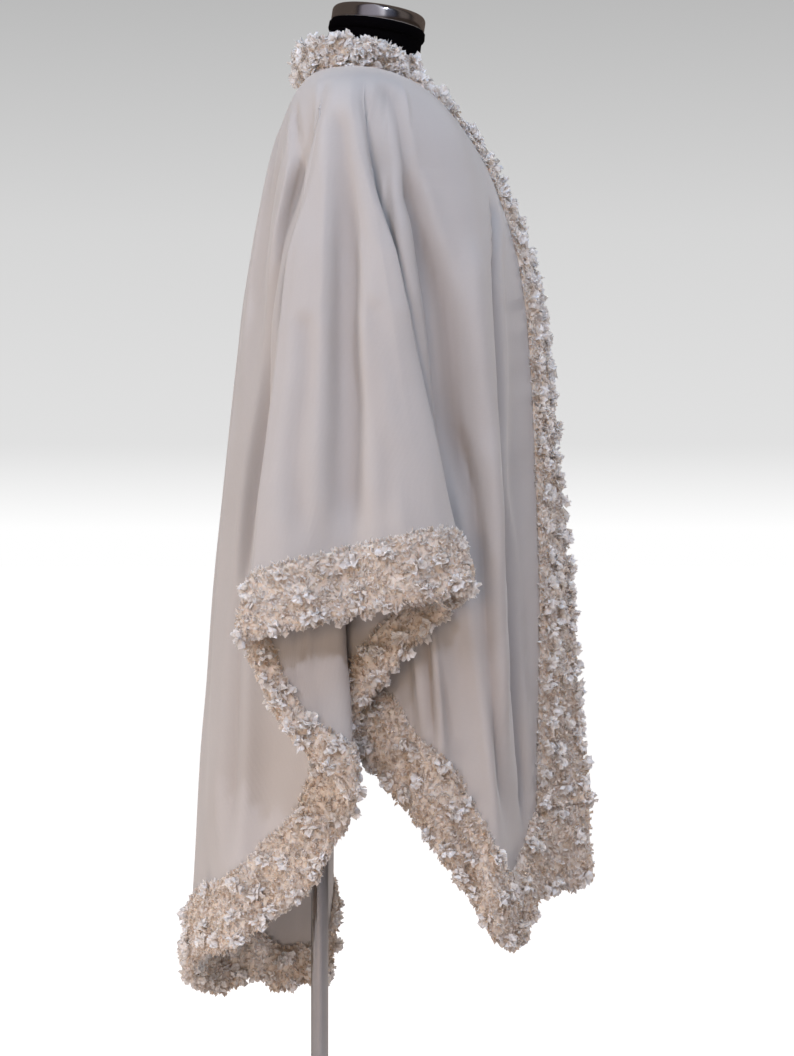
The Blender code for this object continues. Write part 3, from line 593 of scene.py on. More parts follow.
# The shell's grid, and how far it runs in under the front borders (in metres) and the hem border (in v)
COLUMNS_A_FOLD = 9
CLOTH_ROWS = 100
CLOTH_UNDER_TRIM = 0.014
CLOTH_UNDER_HEM_TRIM = 0.012

columns = np.linspace(1.0, LAST_FOLD - 1.0, (LAST_FOLD - 2) * COLUMNS_A_FOLD + 1)
foot = trim_start(columns) + CLOTH_UNDER_HEM_TRIM
rows = np.linspace(0.0, 1.0, CLOTH_ROWS + 1)
grid_u = np.broadcast_to(columns, (len(rows), len(columns)))
grid_v = rows[:, None] * foot[None, :]
cloth_points = cloth_surface(grid_u, grid_v)
_, out_across, _, _ = frame_of(smooth_surface, grid_u, grid_v)

# Painted shade: the wool's colour is darkened at the bottom of a crease, where shade falls, by up to the
# share set below, reached where the crease is as deep as the depth set below or deeper
CREASE_SHADE_COLOUR = (0.300, 0.245, 0.220)
CREASE_SHADE_MOST = 0.50
CREASE_SHADE_DEPTH = 0.0115
CREASE_SHADE_EASE = 1.3

crease_shade = CREASE_SHADE_MOST * np.clip(relief(grid_u, grid_v)[1] / CREASE_SHADE_DEPTH, 0.0, 1.0) ** CREASE_SHADE_EASE
cloth_points[:, 0] -= out_across[:, 0] * CLOTH_UNDER_TRIM
cloth_points[:, -1] += out_across[:, -1] * CLOTH_UNDER_TRIM


def grid_faces(row_count, column_count):
    """The corners of every face of a grid of points, row by row."""
    corner = (np.arange(row_count - 1)[:, None] * column_count + np.arange(column_count - 1)).ravel()
    return np.stack([corner, corner + 1, corner + column_count + 1, corner + column_count], 1)


def mesh_from(name, points, faces, flat_from=None):
    """A mesh from rows of points and of corner numbers, smooth up to the face number flat_from."""
    mesh = bpy.data.meshes.new(name)
    points, faces = np.asarray(points, np.float32), np.asarray(faces, np.int32)
    mesh.vertices.add(len(points))
    mesh.vertices.foreach_set("co", points.ravel())
    corners = faces.shape[1]
    mesh.loops.add(faces.size)
    mesh.loops.foreach_set("vertex_index", faces.ravel())
    mesh.polygons.add(len(faces))
    mesh.polygons.foreach_set("loop_start", np.arange(0, faces.size, corners, dtype=np.int32))
    smooth_faces = len(faces) if flat_from is None else flat_from
    mesh.polygons.foreach_set("use_smooth", np.arange(len(faces)) < smooth_faces)
    mesh.update(calc_edges=True)
    return mesh


def run_lengths(points, axis=0):
    """Distance from the start along one axis of a row or grid of points."""
    steps = np.linalg.norm(np.diff(points, axis=axis), axis=-1)
    return np.insert(np.cumsum(steps, axis), 0, 0.0, axis)


def add_piece(name, mesh, material, replaced=()):
    """A finished piece that rides on the part and stands for its plain solids."""
    mesh.materials.append(material)
    piece = bpy.data.objects.new(name, mesh)
    bpy.context.scene.collection.objects.link(piece)
    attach(piece, "root")
    if replaced:
        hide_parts(*replaced)
    return piece


def apply_modifiers(piece):
    """Modifiers made into plain mesh."""
    bpy.ops.object.select_all(action="DESELECT")
    piece.select_set(True)
    bpy.context.view_layer.objects.active = piece
    for modifier in list(piece.modifiers):
        bpy.ops.object.modifier_apply(modifier=modifier.name)


def new_group(name, inputs, outputs):
    """An empty shader group with number inputs (name, value) and number outputs (name)."""
    group = bpy.data.node_groups.new(name, "ShaderNodeTree")
    for label, value in inputs:
        socket = group.interface.new_socket(label, in_out="INPUT", socket_type="NodeSocketFloat")
        socket.default_value = value
    for label in outputs:
        group.interface.new_socket(label, in_out="OUTPUT", socket_type="NodeSocketFloat")
    return group, group.nodes.new("NodeGroupInput"), group.nodes.new("NodeGroupOutput")


def noise(tree, vector, scale, detail=2.0, roughness=0.5):
    """A Noise texture in a tree, as a number from 0 to 1."""
    node = tree.nodes.new("ShaderNodeTexNoise")
    node.inputs["Scale"].default_value = scale
    node.inputs["Detail"].default_value = detail
    node.inputs["Roughness"].default_value = roughness
    tree.links.new(vector, node.inputs["Vector"])
    return node.outputs["Fac"]


def mix_colour(tree, share, a, b):
    """From colour a to colour b by a share, each a socket or a plain value."""
    node = tree.nodes.new("ShaderNodeMix")
    node.data_type = "RGBA"
    for socket, value in ((node.inputs["Factor"], share), (node.inputs["A"], a), (node.inputs["B"], b)):
        if isinstance(value, (int, float)):
            socket.default_value = value
        elif isinstance(value, tuple):
            socket.default_value = (*value, 1.0)
        else:
            tree.links.new(value, socket)
    return node.outputs["Result"]


def raise_surface(tree, height, strength, distance):
    """Bump on a material's Principled shader, from a height."""
    bump = tree.nodes.new("ShaderNodeBump")
    bump.inputs["Strength"].default_value = strength
    bump.inputs["Distance"].default_value = distance
    tree.links.new(height, bump.inputs["Height"])
    tree.links.new(bump.outputs["Normal"], tree.nodes["Principled BSDF"].inputs["Normal"])


def set_attribute(mesh, name, values):
    """A number for each point of a mesh, which its material reads."""
    mesh.attributes.new(name, "FLOAT", "POINT").data.foreach_set("value", np.asarray(values, np.float32))


def attribute(tree, name):
    """The points' numbers of that name, in a material."""
    node = tree.nodes.new("ShaderNodeAttribute")
    node.attribute_name = name
    return node.outputs["Fac"]


# Brushed wool: a twill so fine that only its grain shows, under a short nap that lies down the cloth
THREADS_A_METRE = 900.0
PATCHES_A_METRE = 9.0
WOOL_DEEP = (0.518, 0.484, 0.464)
WOOL_PALE = (0.606, 0.576, 0.558)
wool_grain, given, made = new_group(
    "brushed_wool_grain",
    (("Threads a metre", THREADS_A_METRE), ("Patches a metre", PATCHES_A_METRE)),
    ("Height", "Shade"),
)
tree = wool_grain
cut_place = tree.nodes.new("ShaderNodeUVMap")
cut_place.uv_map = "cut"
split = tree.nodes.new("ShaderNodeSeparateXYZ")
tree.links.new(cut_place.outputs[0], split.inputs[0])
diagonal = maths(tree, "ADD", split.outputs["X"], maths(tree, "MULTIPLY", split.outputs["Y"], 0.6))
twill = maths(tree, "SINE", maths(tree, "MULTIPLY", diagonal, given.outputs["Threads a metre"]))
nap = noise(tree, cut_place.outputs[0], 420.0, 3.0, 0.6)
soft = noise(tree, cut_place.outputs[0], 60.0, 3.0, 0.6)
raised = maths(tree, "ADD", maths(tree, "MULTIPLY", twill, 0.18), nap)
raised = maths(tree, "ADD", raised, maths(tree, "MULTIPLY", soft, 0.6))
tree.links.new(raised, made.inputs["Height"])
patches = noise(tree, cut_place.outputs[0], PATCHES_A_METRE)
tree.links.new(given.outputs["Patches a metre"], patches.node.inputs["Scale"])
shade = maths(tree, "MULTIPLY", nap, 0.35)
shade = maths(tree, "ADD", shade, maths(tree, "MULTIPLY", patches, 0.65))
tree.links.new(shade, made.inputs["Shade"])

wool, nodes, links = new_material("cream_wool")
shader = nodes["Principled BSDF"]
grain = nodes.new("ShaderNodeGroup")
grain.node_tree = wool_grain
grain.inputs["Threads a metre"].default_value = THREADS_A_METRE
grain.inputs["Patches a metre"].default_value = PATCHES_A_METRE
colour = mix_colour(wool.node_tree, grain.outputs["Shade"], WOOL_DEEP, WOOL_PALE)
# Painted shade: the wool goes towards a deep brown at the bottoms of the creases
colour = mix_colour(wool.node_tree, attribute(wool.node_tree, "crease_shade"), colour, CREASE_SHADE_COLOUR)
links.new(colour, shader.inputs["Base Color"])
raise_surface(wool.node_tree, grain.outputs["Height"], 0.22, 0.0006)
shader.inputs["Roughness"].default_value = 0.78
shader.inputs["Specular IOR Level"].default_value = 0.25
shader.inputs["Sheen Weight"].default_value = 0.35
shader.inputs["Sheen Roughness"].default_value = 0.45
shader.inputs["Sheen Tint"].default_value = (1.0, 0.97, 0.94, 1.0)

cloth_mesh = mesh_from("cape_cloth_shell", cloth_points.reshape(-1, 3), grid_faces(*grid_u.shape))
cut_across = run_lengths(cloth_points, 1)
cut_across -= cut_across[:, [len(columns) // 2]]
cut = np.stack([cut_across.ravel(), run_lengths(cloth_points).ravel()], 1)
# The creases' painted shade, read by the wool's material
set_attribute(cloth_mesh, "crease_shade", crease_shade.ravel())
cut_map = cloth_mesh.uv_layers.new(name="cut")
corners = np.zeros(len(cloth_mesh.loops), np.int32)
cloth_mesh.loops.foreach_get("vertex_index", corners)
cut_map.data.foreach_set("uv", cut[corners].astype(np.float32).ravel())
cape = add_piece("cape_wool", cloth_mesh, wool, ["cape_cloth"])
thickness = cape.modifiers.new("Thickness", "SOLIDIFY")
thickness.thickness = CLOTH_THICKNESS
thickness.offset = -1.0
apply_modifiers(cape)


# Ruffled borders.
# A ribbon tape 70 mm wide, folded over the cloth's edge and sewn through, is covered on both faces with
# thousands of small crinkled flecks of cream and honey ribbon, and has tufts of larger white petals along
# its edges, and little gold and pearl beads. Its free edge hangs in lobes about 25 mm wide.
BORDER_HALF_THICKNESS = 0.0056
BORDER_SECTION = (
    # across from the seam to the free edge, height
    (0.00, 0.45),
    (0.12, 0.85),
    (0.35, 1.00),
    (0.65, 1.05),
    (0.88, 0.95),
    (1.00, 0.35),
)
LOBE_DEPTH = 0.0095
LOBE_LENGTH = (0.017, 0.033)
LUMP_SIZE = 0.017


def border_lengths(mid):
    """Distance along the border's middle, and across it, at each grid point."""
    along = run_lengths(mid[:, mid.shape[1] // 2])
    return np.broadcast_to(along[:, None], mid.shape[:2]), run_lengths(mid, 1)


def lobe_profile(random, along):
    """From 0 in the notches between the lobes of a free edge to 1 at their middles."""
    notches = np.cumsum(random.uniform(*LOBE_LENGTH, int(along[-1] / LOBE_LENGTH[0]) + 2)) - LOBE_LENGTH[0]
    number = np.clip(np.searchsorted(notches, along, side="right") - 1, 0, len(notches) - 2)
    share = np.clip((along - notches[number]) / (notches[number + 1] - notches[number]), 0.0, 1.0)
    return np.sqrt(np.sin(share * math.pi).clip(0.0))


def shaped_border(random, mid, seed):
    """Grid points moved to a lobed edge, with the outer and inner heights of a lumpy padded strip."""
    along, across = border_lengths(mid)
    lobe = lobe_profile(random, along[:, 0])[:, None]
    share = np.linspace(0.0, 1.0, mid.shape[1])[None, :]
    outward = unit(mid[:, [-1]] - mid[:, [-3]])
    mid = mid + outward * (LOBE_DEPTH * (lobe - 0.75) * smooth_step((share - 0.5) / 0.5))[..., None]
    profile = np.interp(share, *zip(*BORDER_SECTION)) * (1.0 - (0.45 - 0.55 * lobe) * share)
    heights = []
    for face in (0, 1):
        lumps = 1.0 + 0.60 * value_noise(seed + 2 + face, along / LUMP_SIZE, across / LUMP_SIZE)
        heights.append(BORDER_HALF_THICKNESS * profile * lumps)
    return mid, heights


def strip_mesh(mid, normal, heights):
    """Closed strip: out across its outer face, back across its inner one, and capped at both ends."""
    outer = mid + normal * heights[0][..., None]
    inner = mid - normal * heights[1][..., None]
    loops = np.concatenate([outer, inner[:, ::-1]], 1)
    stations, around = loops.shape[:2]
    start = (np.arange(stations - 1)[:, None] * around + np.arange(around)[None, :]).ravel()
    after = (np.arange(stations - 1)[:, None] * around + (np.arange(around) + 1)[None, :] % around).ravel()
    faces = np.stack([start, after, after + around, start + around], 1)
    half = mid.shape[1]
    ends = []
    for base, turned in ((0, True), ((stations - 1) * around, False)):
        for k in range(half - 1):
            face = [base + k, base + k + 1, base + around - 2 - k, base + around - 1 - k]
            ends.append(face[::-1] if turned else face)
    return loops.reshape(-1, 3), np.concatenate([faces, np.array(ends)])


# One petal: a crinkled leaf, closed, 3 points wide and 3 long, with a rim shared by both faces
PETAL_ROWS = ((0.0, 0.42), (0.55, 1.0), (1.0, 0.70))
PETAL_THICKNESS = 0.06


def petal_shape():
    """The points (across, along, up) and faces of one petal, one long and one wide."""
    front, back, number = [], [], {}
    points = []
    for layer in (1, -1):
        for r, (along, wide) in enumerate(PETAL_ROWS):
            for c, side in enumerate((-0.5, 0.0, 0.5)):
                rim = c != 1 or r in (0, 2)
                if layer < 0 and rim:
                    number[layer, r, c] = number[1, r, c]
                    continue
                cup = 0.20 * (2 * side) ** 2 + 0.22 * along**2
                number[layer, r, c] = len(points)
                points.append((side * wide, along, cup + (0.0 if rim else layer * PETAL_THICKNESS)))
    for layer, faces in ((1, front), (-1, back)):
        for r in range(2):
            for c in range(2):
                face = [number[layer, r + i, c + j] for i, j in ((0, 0), (0, 1), (1, 1), (1, 0))]
                faces.append(face if layer > 0 else face[::-1])
    return np.array(points), np.array(front + back)


PETAL, PETAL_FACES = petal_shape()
# One fleck: a folded kite, closed, of its root, right corner, tip, left corner, and a ridge on each face
FLECK = np.array((
    (0, 0, 0), (0.5, 0.55, 0.22), (0, 1, 0.1), (-0.5, 0.55, 0.22), (0, 0.5, 0.06), (0, 0.5, -0.06),
))
FLECK_FACES = np.array(((0, 1, 2, 4), (0, 4, 2, 3), (0, 5, 2, 1), (0, 3, 2, 5)))
FLECKS_A_SQUARE_CM = (9.0, 7.0)
EDGE_FLECK_SPACING = 0.0030
FLECK_LENGTH = (0.0040, 0.0085)
FLECK_WIDTH = (0.0036, 0.0072)
# Tilt from upright towards the border's face, in degrees
FLECK_TILT = (38.0, 86.0)
FLECK_CRINKLE = (0.12, 0.08, 0.12)
# Patches of whiter and more honey coloured flecks: their size and strength, and how much each fleck differs
FLECK_PATCH = 0.012
FLECK_PATCH_TONE = 0.52
FLECK_TONE_SPREAD = 0.26
# Within these shares of the width beside the seam and the free edge, flecks lie outward
SEAM_BAND = 0.12
EDGE_BAND = 0.16
FLECK_SINK = 0.0008
TUFT_ROWS = (
    # share across from the seam, spread, spacing along
    (0.90, 0.07, 0.034),
    (0.16, 0.08, 0.060),
    (0.52, 0.20, 0.055),
)
# Each tuft is a rosette of petals, every one turned this far round from the last, in radians
TUFT_PETALS = 9
TUFT_TURN = 2.4
PETAL_LENGTH = (0.0062, 0.0105)
PETAL_WIDTH = (0.0066, 0.0108)
PETAL_TILT = (15.0, 72.0)
PETAL_CRINKLE = (0.10, 0.08, 0.18)
PETAL_TONE = (0.92, 1.35)
# How far a tuft's petals are sewn above the border's face, and out from the tuft's middle
PETAL_RISE = 0.0018
PETAL_OUT = 0.0020
BEADS_A_SQUARE_CM = 0.6
BEAD_RADIUS = (0.0007, 0.0012)
BEAD_LIFT = (0.0005, 0.0030)


def read_grid(grid, i, j):
    """Values of a grid at places between its points."""
    row, column = np.minimum(i.astype(int), grid.shape[0] - 2), np.minimum(j.astype(int), grid.shape[1] - 2)
    s, t = (i - row)[:, None], (j - column)[:, None]
    near = grid[row, column] * (1 - s) + grid[row + 1, column] * s
    far = grid[row, column + 1] * (1 - s) + grid[row + 1, column + 1] * s
    return near * (1 - t) + far * t


def faces_of(mid, normal, heights):
    """Both faces of a border as grids of points, lumpy outward normals, and directions to the free edge."""
    found = []
    for face, sign in ((0, 1.0), (1, -1.0)):
        surface = mid + sign * normal * heights[face][..., None]
        along, across = np.gradient(surface, axis=0), np.gradient(surface, axis=1)
        out = unit(np.cross(along, across))
        out = np.where((out * normal * sign).sum(-1, keepdims=True) > 0, out, -out)
        found.append((surface, unit(out + 0.5 * sign * normal), unit(across)))
    return found


def scatter(random, face, density):
    """Evenly random places on one face of a border."""
    surface = face[0]
    a, b = surface[1:, :-1] - surface[:-1, :-1], surface[:-1, 1:] - surface[:-1, :-1]
    area = np.linalg.norm(np.cross(a, b), axis=-1)
    count = int(area.sum() * 10000 * density)
    edges = np.cumsum(area.ravel())
    picked = np.searchsorted(edges, (np.arange(count) + random.uniform(0, 1, count)) / count * edges[-1])
    i, j = np.unravel_index(np.minimum(picked, area.size - 1), area.shape)
    return i + random.uniform(0, 1, count), j + random.uniform(0, 1, count)


def edge_places(random, face, spacing):
    """Places along the seam and along the free edge, a little way in."""
    surface = face[0]
    length = run_lengths(surface[:, surface.shape[1] // 2])
    count = int(length[-1] / spacing)
    number = np.arange(2 * count)
    at = (number % count + random.uniform(0, 1, 2 * count)) / count * length[-1]
    by_seam, by_edge = random.uniform(0.1, 0.7, 2 * count), random.uniform(0.0, 0.5, 2 * count)
    j = np.where(number < count, by_seam, surface.shape[1] - 1.0 - by_edge)
    return np.interp(at, length, np.arange(len(length))), j


def leaves(random, shape, lengths, widths, crinkle, root, long):
    """Crinkled copies of a petal or fleck: from their roots, along their long directions."""
    count = len(root)
    wide = unit(np.cross(long, random.normal(0, 1, (count, 3))))
    up = np.cross(wide, long)
    length, width = random.uniform(*lengths, count), random.uniform(*widths, count)
    bent = random.normal(0, 1, (count, len(shape), 3)) * np.array(crinkle) * shape[None, :, 1:2]
    local = (shape[None] + bent) * np.stack([width, length, length * 0.9], 1)[:, None, :]
    points = root[:, None] + local[..., [0]] * wide[:, None]
    return points + local[..., [1]] * long[:, None] + local[..., [2]] * up[:, None]


def flecks(random, mid, normal, heights, tone_light_and_shade, seed):
    """The ribbon flecks of both faces: points, shares from root to tip, and tones from honey to white."""
    points, tips, tones = [], [], []
    along, across = border_lengths(mid)
    patches = FLECK_PATCH_TONE * value_noise(seed, along / FLECK_PATCH, across / FLECK_PATCH)
    # How white a border is, with its painted light and shade, shifts the flecks' tones
    patches = (patches + np.reshape(tone_light_and_shade, (-1, 1)))[..., None]
    for face, density in zip(faces_of(mid, normal, heights), FLECKS_A_SQUARE_CM):
        places = [scatter(random, face, density), edge_places(random, face, EDGE_FLECK_SPACING)]
        i, j = (np.concatenate(part) for part in zip(*places))
        point, out, edge, patch = (read_grid(grid, i, j) for grid in (*face, patches))
        out, edge = unit(out), unit(edge)
        count = len(point)
        share = j / (mid.shape[1] - 1)
        side = unit(np.cross(out, edge))
        turn = random.uniform(-math.pi, math.pi, count)
        lie = np.cos(turn)[:, None] * side + np.sin(turn)[:, None] * edge
        to_edge = smooth_step((share - (1 - EDGE_BAND)) / EDGE_BAND)[:, None]
        to_edge = to_edge - smooth_step((SEAM_BAND - share) / SEAM_BAND)[:, None]
        lie = unit(lie * (1 - 0.7 * np.abs(to_edge)) + edge * 0.9 * to_edge)
        tilt = np.radians(random.uniform(*FLECK_TILT, count))[:, None]
        long = unit(out * np.cos(tilt) + lie * np.sin(tilt))
        root = point - out * FLECK_SINK
        points.append(leaves(random, FLECK, FLECK_LENGTH, FLECK_WIDTH, FLECK_CRINKLE, root, long))
        tone = 0.50 + patch[:, 0] + random.normal(0, FLECK_TONE_SPREAD, count) + 0.12 * np.abs(to_edge[:, 0])
        tips.append(np.broadcast_to(FLECK[:, 1], (count, len(FLECK))))
        tones.append(np.broadcast_to(np.clip(tone, 0, 1)[:, None], (count, len(FLECK))))
    points, tips, tones = (np.concatenate(part) for part in (points, tips, tones))
    faces = FLECK_FACES[None] + (np.arange(len(points)) * len(FLECK))[:, None, None]
    return points.reshape(-1, 3), faces.reshape(-1, 4), tips.ravel(), tones.ravel()


def tufts(random, mid, normal, heights, plenty):
    """Rosettes of white petals in rows along the border, on both faces."""
    points = []
    for face in faces_of(mid, normal, heights):
        lengths = run_lengths(face[0][:, mid.shape[1] // 2])
        for middle, spread, spacing in TUFT_ROWS:
            count = int(lengths[-1] / spacing * plenty)
            at = (np.arange(count) + random.uniform(0.1, 0.9, count)) / count * lengths[-1]
            i = np.interp(at, lengths, np.arange(len(lengths)))
            j = np.clip(middle + random.uniform(-spread, spread, count), 0.06, 0.97) * (mid.shape[1] - 1)
            i, j = np.repeat(i, TUFT_PETALS), np.repeat(j, TUFT_PETALS)
            point, out, edge = (read_grid(grid, i, j) for grid in face)
            out, edge = unit(out), unit(edge)
            side = unit(np.cross(out, edge))
            turn = (np.arange(len(i)) * TUFT_TURN + random.uniform(0, TUFT_TURN / 2, len(i)))[:, None]
            tilt = np.radians(random.uniform(*PETAL_TILT, len(i)))[:, None]
            lie = np.cos(turn) * side + np.sin(turn) * edge
            long = unit(out * np.cos(tilt) + lie * np.sin(tilt))
            root = point + out * PETAL_RISE + lie * PETAL_OUT
            points.append(leaves(random, PETAL, PETAL_LENGTH, PETAL_WIDTH, PETAL_CRINKLE, root, long))
    points = np.concatenate(points)
    tips = np.broadcast_to(0.4 + 0.6 * PETAL[:, 1], (len(points), len(PETAL)))
    tones = np.broadcast_to(random.uniform(*PETAL_TONE, len(points))[:, None], (len(points), len(PETAL)))
    faces = PETAL_FACES[None] + (np.arange(len(points)) * len(PETAL))[:, None, None]
    return points.reshape(-1, 3), faces.reshape(-1, 4), tips.ravel(), tones.ravel()


# One bead: an eight-sided drop, shaded round
BEAD = np.array(((1, 0, 0), (0, 1, 0), (-1, 0, 0), (0, -1, 0), (0, 0, 1), (0, 0, -1)), float)
BEAD_FACES = np.array((
    (0, 1, 4), (1, 2, 4), (2, 3, 4), (3, 0, 4), (1, 0, 5), (2, 1, 5), (3, 2, 5), (0, 3, 5),
))


def beads(random, mid, normal, heights):
    """Beads sewn among the flecks of both faces."""
    points, tones = [], []
    for face in faces_of(mid, normal, heights):
        i, j = scatter(random, face, BEADS_A_SQUARE_CM)
        point, out, _ = (read_grid(grid, i, j) for grid in face)
        count = len(point)
        radius = random.uniform(*BEAD_RADIUS, count)[:, None]
        centre = point + unit(out) * (radius + random.uniform(*BEAD_LIFT, count)[:, None])
        points.append(centre[:, None] + BEAD[None] * radius[:, None])
        tones.append(np.broadcast_to(random.uniform(0, 1, count)[:, None], (count, len(BEAD))))
    points, tones = np.concatenate(points), np.concatenate(tones)
    faces = BEAD_FACES[None] + (np.arange(len(points)) * len(BEAD))[:, None, None]
    return points.reshape(-1, 3), faces.reshape(-1, 3), tones.ravel()


# Ivory ribbon: from honey to white by each fleck's tone, and a little deeper at its root
HONEY_DEEP = (0.60, 0.41, 0.27)
HONEY_PALE = (0.93, 0.79, 0.64)
CREAM = (0.95, 0.87, 0.80)
WHITE = (0.985, 0.965, 0.95)
ribbon, nodes, links = new_material("ivory_ribbon")
tree = ribbon.node_tree
shader = nodes["Principled BSDF"]
place_on = nodes.new("ShaderNodeTexCoord").outputs["Object"]
ribs = maths(tree, "SUBTRACT", maths(tree, "MULTIPLY", noise(tree, place_on, 380.0, 2.0, 0.6), 1.3), 0.65)
tone = maths(tree, "ADD", attribute(tree, "tone"), ribs)
tone = maths(tree, "MULTIPLY", maths(tree, "MAXIMUM", maths(tree, "MINIMUM", tone, 1.0), 0.0), 2.0)
honey = mix_colour(tree, noise(tree, place_on, 130.0), HONEY_DEEP, HONEY_PALE)
cream = mix_colour(tree, maths(tree, "MINIMUM", tone, 1.0), honey, CREAM)
tip_colour = mix_colour(tree, maths(tree, "MAXIMUM", maths(tree, "SUBTRACT", tone, 1.0), 0.0), cream, WHITE)
from_root = maths(tree, "POWER", attribute(tree, "tip"), 0.6)
links.new(mix_colour(tree, from_root, honey, tip_colour), shader.inputs["Base Color"])
raise_surface(tree, noise(tree, place_on, 520.0, 3.0, 0.65), 0.6, 0.0012)
shader.inputs["Roughness"].default_value = 0.55
shader.inputs["Sheen Weight"].default_value = 0.4
shader.inputs["Subsurface Weight"].default_value = 0.5
shader.inputs["Subsurface Radius"].default_value = (1.0, 0.85, 0.7)
shader.inputs["Subsurface Scale"].default_value = 0.004

BEAD_GOLD = (0.74, 0.52, 0.28)
BEAD_PEARL = (0.92, 0.84, 0.74)
bead_finish, nodes, links = new_material("gold_and_pearl_beads")
tree = bead_finish.node_tree
shader = nodes["Principled BSDF"]
bead_tone = attribute(tree, "tone")
links.new(mix_colour(tree, bead_tone, BEAD_GOLD, BEAD_PEARL), shader.inputs["Base Color"])
links.new(maths(tree, "MULTIPLY", bead_tone, 0.35), shader.inputs["Metallic"])
shader.inputs["Roughness"].default_value = 0.14
shader.inputs["Coat Weight"].default_value = 0.6


# The tape under the flecks has the finish of the middle of a fleck of middling tone
TAPE_TIP = 0.55
TAPE_TONE = 0.45


def make_border(name, mid, normal, seed, replaced, tone_light_and_shade, plenty):
    """The tape with its flecks, its tufts of petals and its beads, as three pieces."""
    random = np.random.default_rng(seed)
    mid, heights = shaped_border(random, mid, seed)
    points, faces = strip_mesh(mid, normal, heights)
    fleck_points, fleck_faces, tips, tones = flecks(random, mid, normal, heights, tone_light_and_shade, seed + 5)
    all_points = np.concatenate([points, fleck_points])
    all_faces = np.concatenate([faces, fleck_faces + len(points)])
    mesh = mesh_from(name, all_points, all_faces, len(faces))
    set_attribute(mesh, "tip", np.concatenate([np.full(len(points), TAPE_TIP), tips]))
    set_attribute(mesh, "tone", np.concatenate([np.full(len(points), TAPE_TONE), tones]))
    border = add_piece(name, mesh, ribbon, [replaced])
    points, faces, tips, tones = tufts(random, mid, normal, heights, plenty)
    mesh = mesh_from(name + "_tufts", points, faces, 0)
    set_attribute(mesh, "tip", tips)
    set_attribute(mesh, "tone", tones)
    tufted = add_piece(name + "_tufts", mesh, ribbon, ())
    points, faces, tones = beads(random, mid, normal, heights)
    mesh = mesh_from(name + "_beads", points, faces)
    set_attribute(mesh, "tone", tones)
    strung = add_piece(name + "_beads", mesh, bead_finish, ())
    return [border, tufted, strung]


# Grid of the borders: shares across from the seam to the free edge, and stations along the hem
ACROSS = np.linspace(0.0, 1.0, 11)
STATIONS_A_FOLD = 16


def hem_grid(first, last):
    """A border's middle and normals along the hem, from one fold to another."""
    u = np.linspace(first, last, (last - first) * STATIONS_A_FOLD + 1)
    u = np.broadcast_to(u[:, None], (len(u), len(ACROSS)))
    start = trim_start(u)
    v = start + (1.0 - start) * ACROSS[None, :]
    point, _, _, normal = frame_of(cloth_surface, u, np.minimum(v, 1.0))
    return point - normal * CLOTH_THICKNESS / 2, normal


# Rows down each front border, and how white its flecks are from the neck to its foot: partly their own
# tone, partly painted light that is brightest by the neck and turns to painted shade towards the foot
FRONT_ROWS = 300
FRONT_TONE_LIGHT_AND_SHADE = np.linspace(0.85, 0.05, FRONT_ROWS)


def front_grid(border, edge):
    """A border's middle and normals down a front edge, from its seam out to its free edge."""
    foot_v = trim_start(np.array(border))
    v = np.linspace(0.004, foot_v - 0.002, FRONT_ROWS)
    v = np.broadcast_to(v[:, None], (len(v), len(ACROSS)))
    u = np.broadcast_to(border + (edge - border) * ACROSS, v.shape)
    point, _, _, normal = frame_of(cloth_surface, u, v)
    return point - normal * CLOTH_THICKNESS / 2, normal


NECK_STATIONS = 120


def neck_grid():
    """The neck border's middle and normals, from the neck edge of the cloth up to its own free edge."""
    rim = [place(*row, -1) for row in NECK_EDGE] + [place(*row, 1) for row in NECK_EDGE[-2::-1]]
    fine = smooth_surface(np.linspace(1.0, LAST_FOLD - 1.0, 400), 0.0)
    lengths = run_lengths(fine)
    share = np.linspace(0.0, 1.0, NECK_STATIONS)
    border = np.stack([np.interp(share * lengths[-1], lengths, fine[:, k]) for k in range(3)], 1)
    edge = curve_through(np.linspace(0.0, 1.0, len(rim)), rim, share)
    ahead = np.gradient(border, axis=0)
    reach = unit(edge - border)
    normal = unit(np.cross(reach, unit(ahead)))
    from_middle = border - place(SHOULDER_FWD, 0.0, 0.0, 1) - border * (0, 0, 1)
    normal = np.where((normal * from_middle).sum(-1, keepdims=True) > 0, normal, -normal)
    mid = border[:, None] + (edge - border)[:, None] * ACROSS[None, :, None]
    return mid, np.broadcast_to(normal[:, None], mid.shape)


# The flap's border is the whitest of the hem's, partly its own tone and partly painted light where the lamps
# fall full on it; the fall behind it is more honey coloured, partly its own tone and partly painted shade
# under the flap
HEM_TONE_LIGHT_AND_SHADE = (
    # fold number, whiteness
    (0, 0.05),
    (8, 0.0),
    (11, -0.1),
    (12, 0.34),
    (17.5, 0.34),
    (18.5, 0.0),
    (22, 0.05),
    (27, 0.12),
)
# The neck border is the whitest, partly its own tone and partly painted light from the lamps above
NECK_TONE_AND_LIGHT = 1.05
hem_u = np.linspace(0, MIDDLE_FOLD, MIDDLE_FOLD * STATIONS_A_FOLD + 1)
hem_tone_light_and_shade = np.interp(hem_u, *zip(*HEM_TONE_LIGHT_AND_SHADE))
BORDERS = (
    # name, CAD node, grid, how white it is along it with its painted light and shade, how plentiful its tufts
    # are, seed of its scatter
    ("hem_border_right", "hem_trim_right", hem_grid(0, MIDDLE_FOLD), hem_tone_light_and_shade, 1.0, 21),
    ("hem_border_left", "hem_trim_left", hem_grid(MIDDLE_FOLD, LAST_FOLD), hem_tone_light_and_shade[::-1], 1.0, 31),
    ("front_border_right", "front_trim_right", front_grid(1, 0), FRONT_TONE_LIGHT_AND_SHADE, 2.0, 41),
    ("front_border_left", "front_trim_left", front_grid(LAST_FOLD - 1, LAST_FOLD), FRONT_TONE_LIGHT_AND_SHADE, 2.0, 51),
    ("neck_border", "neck_trim", neck_grid(), NECK_TONE_AND_LIGHT, 2.4, 61),
)
border_pieces = []
for border_name, replaced, grid, tone_light_and_shade, plenty, seed in BORDERS:
    border_pieces += make_border(border_name, *grid, seed, replaced, tone_light_and_shade, plenty)


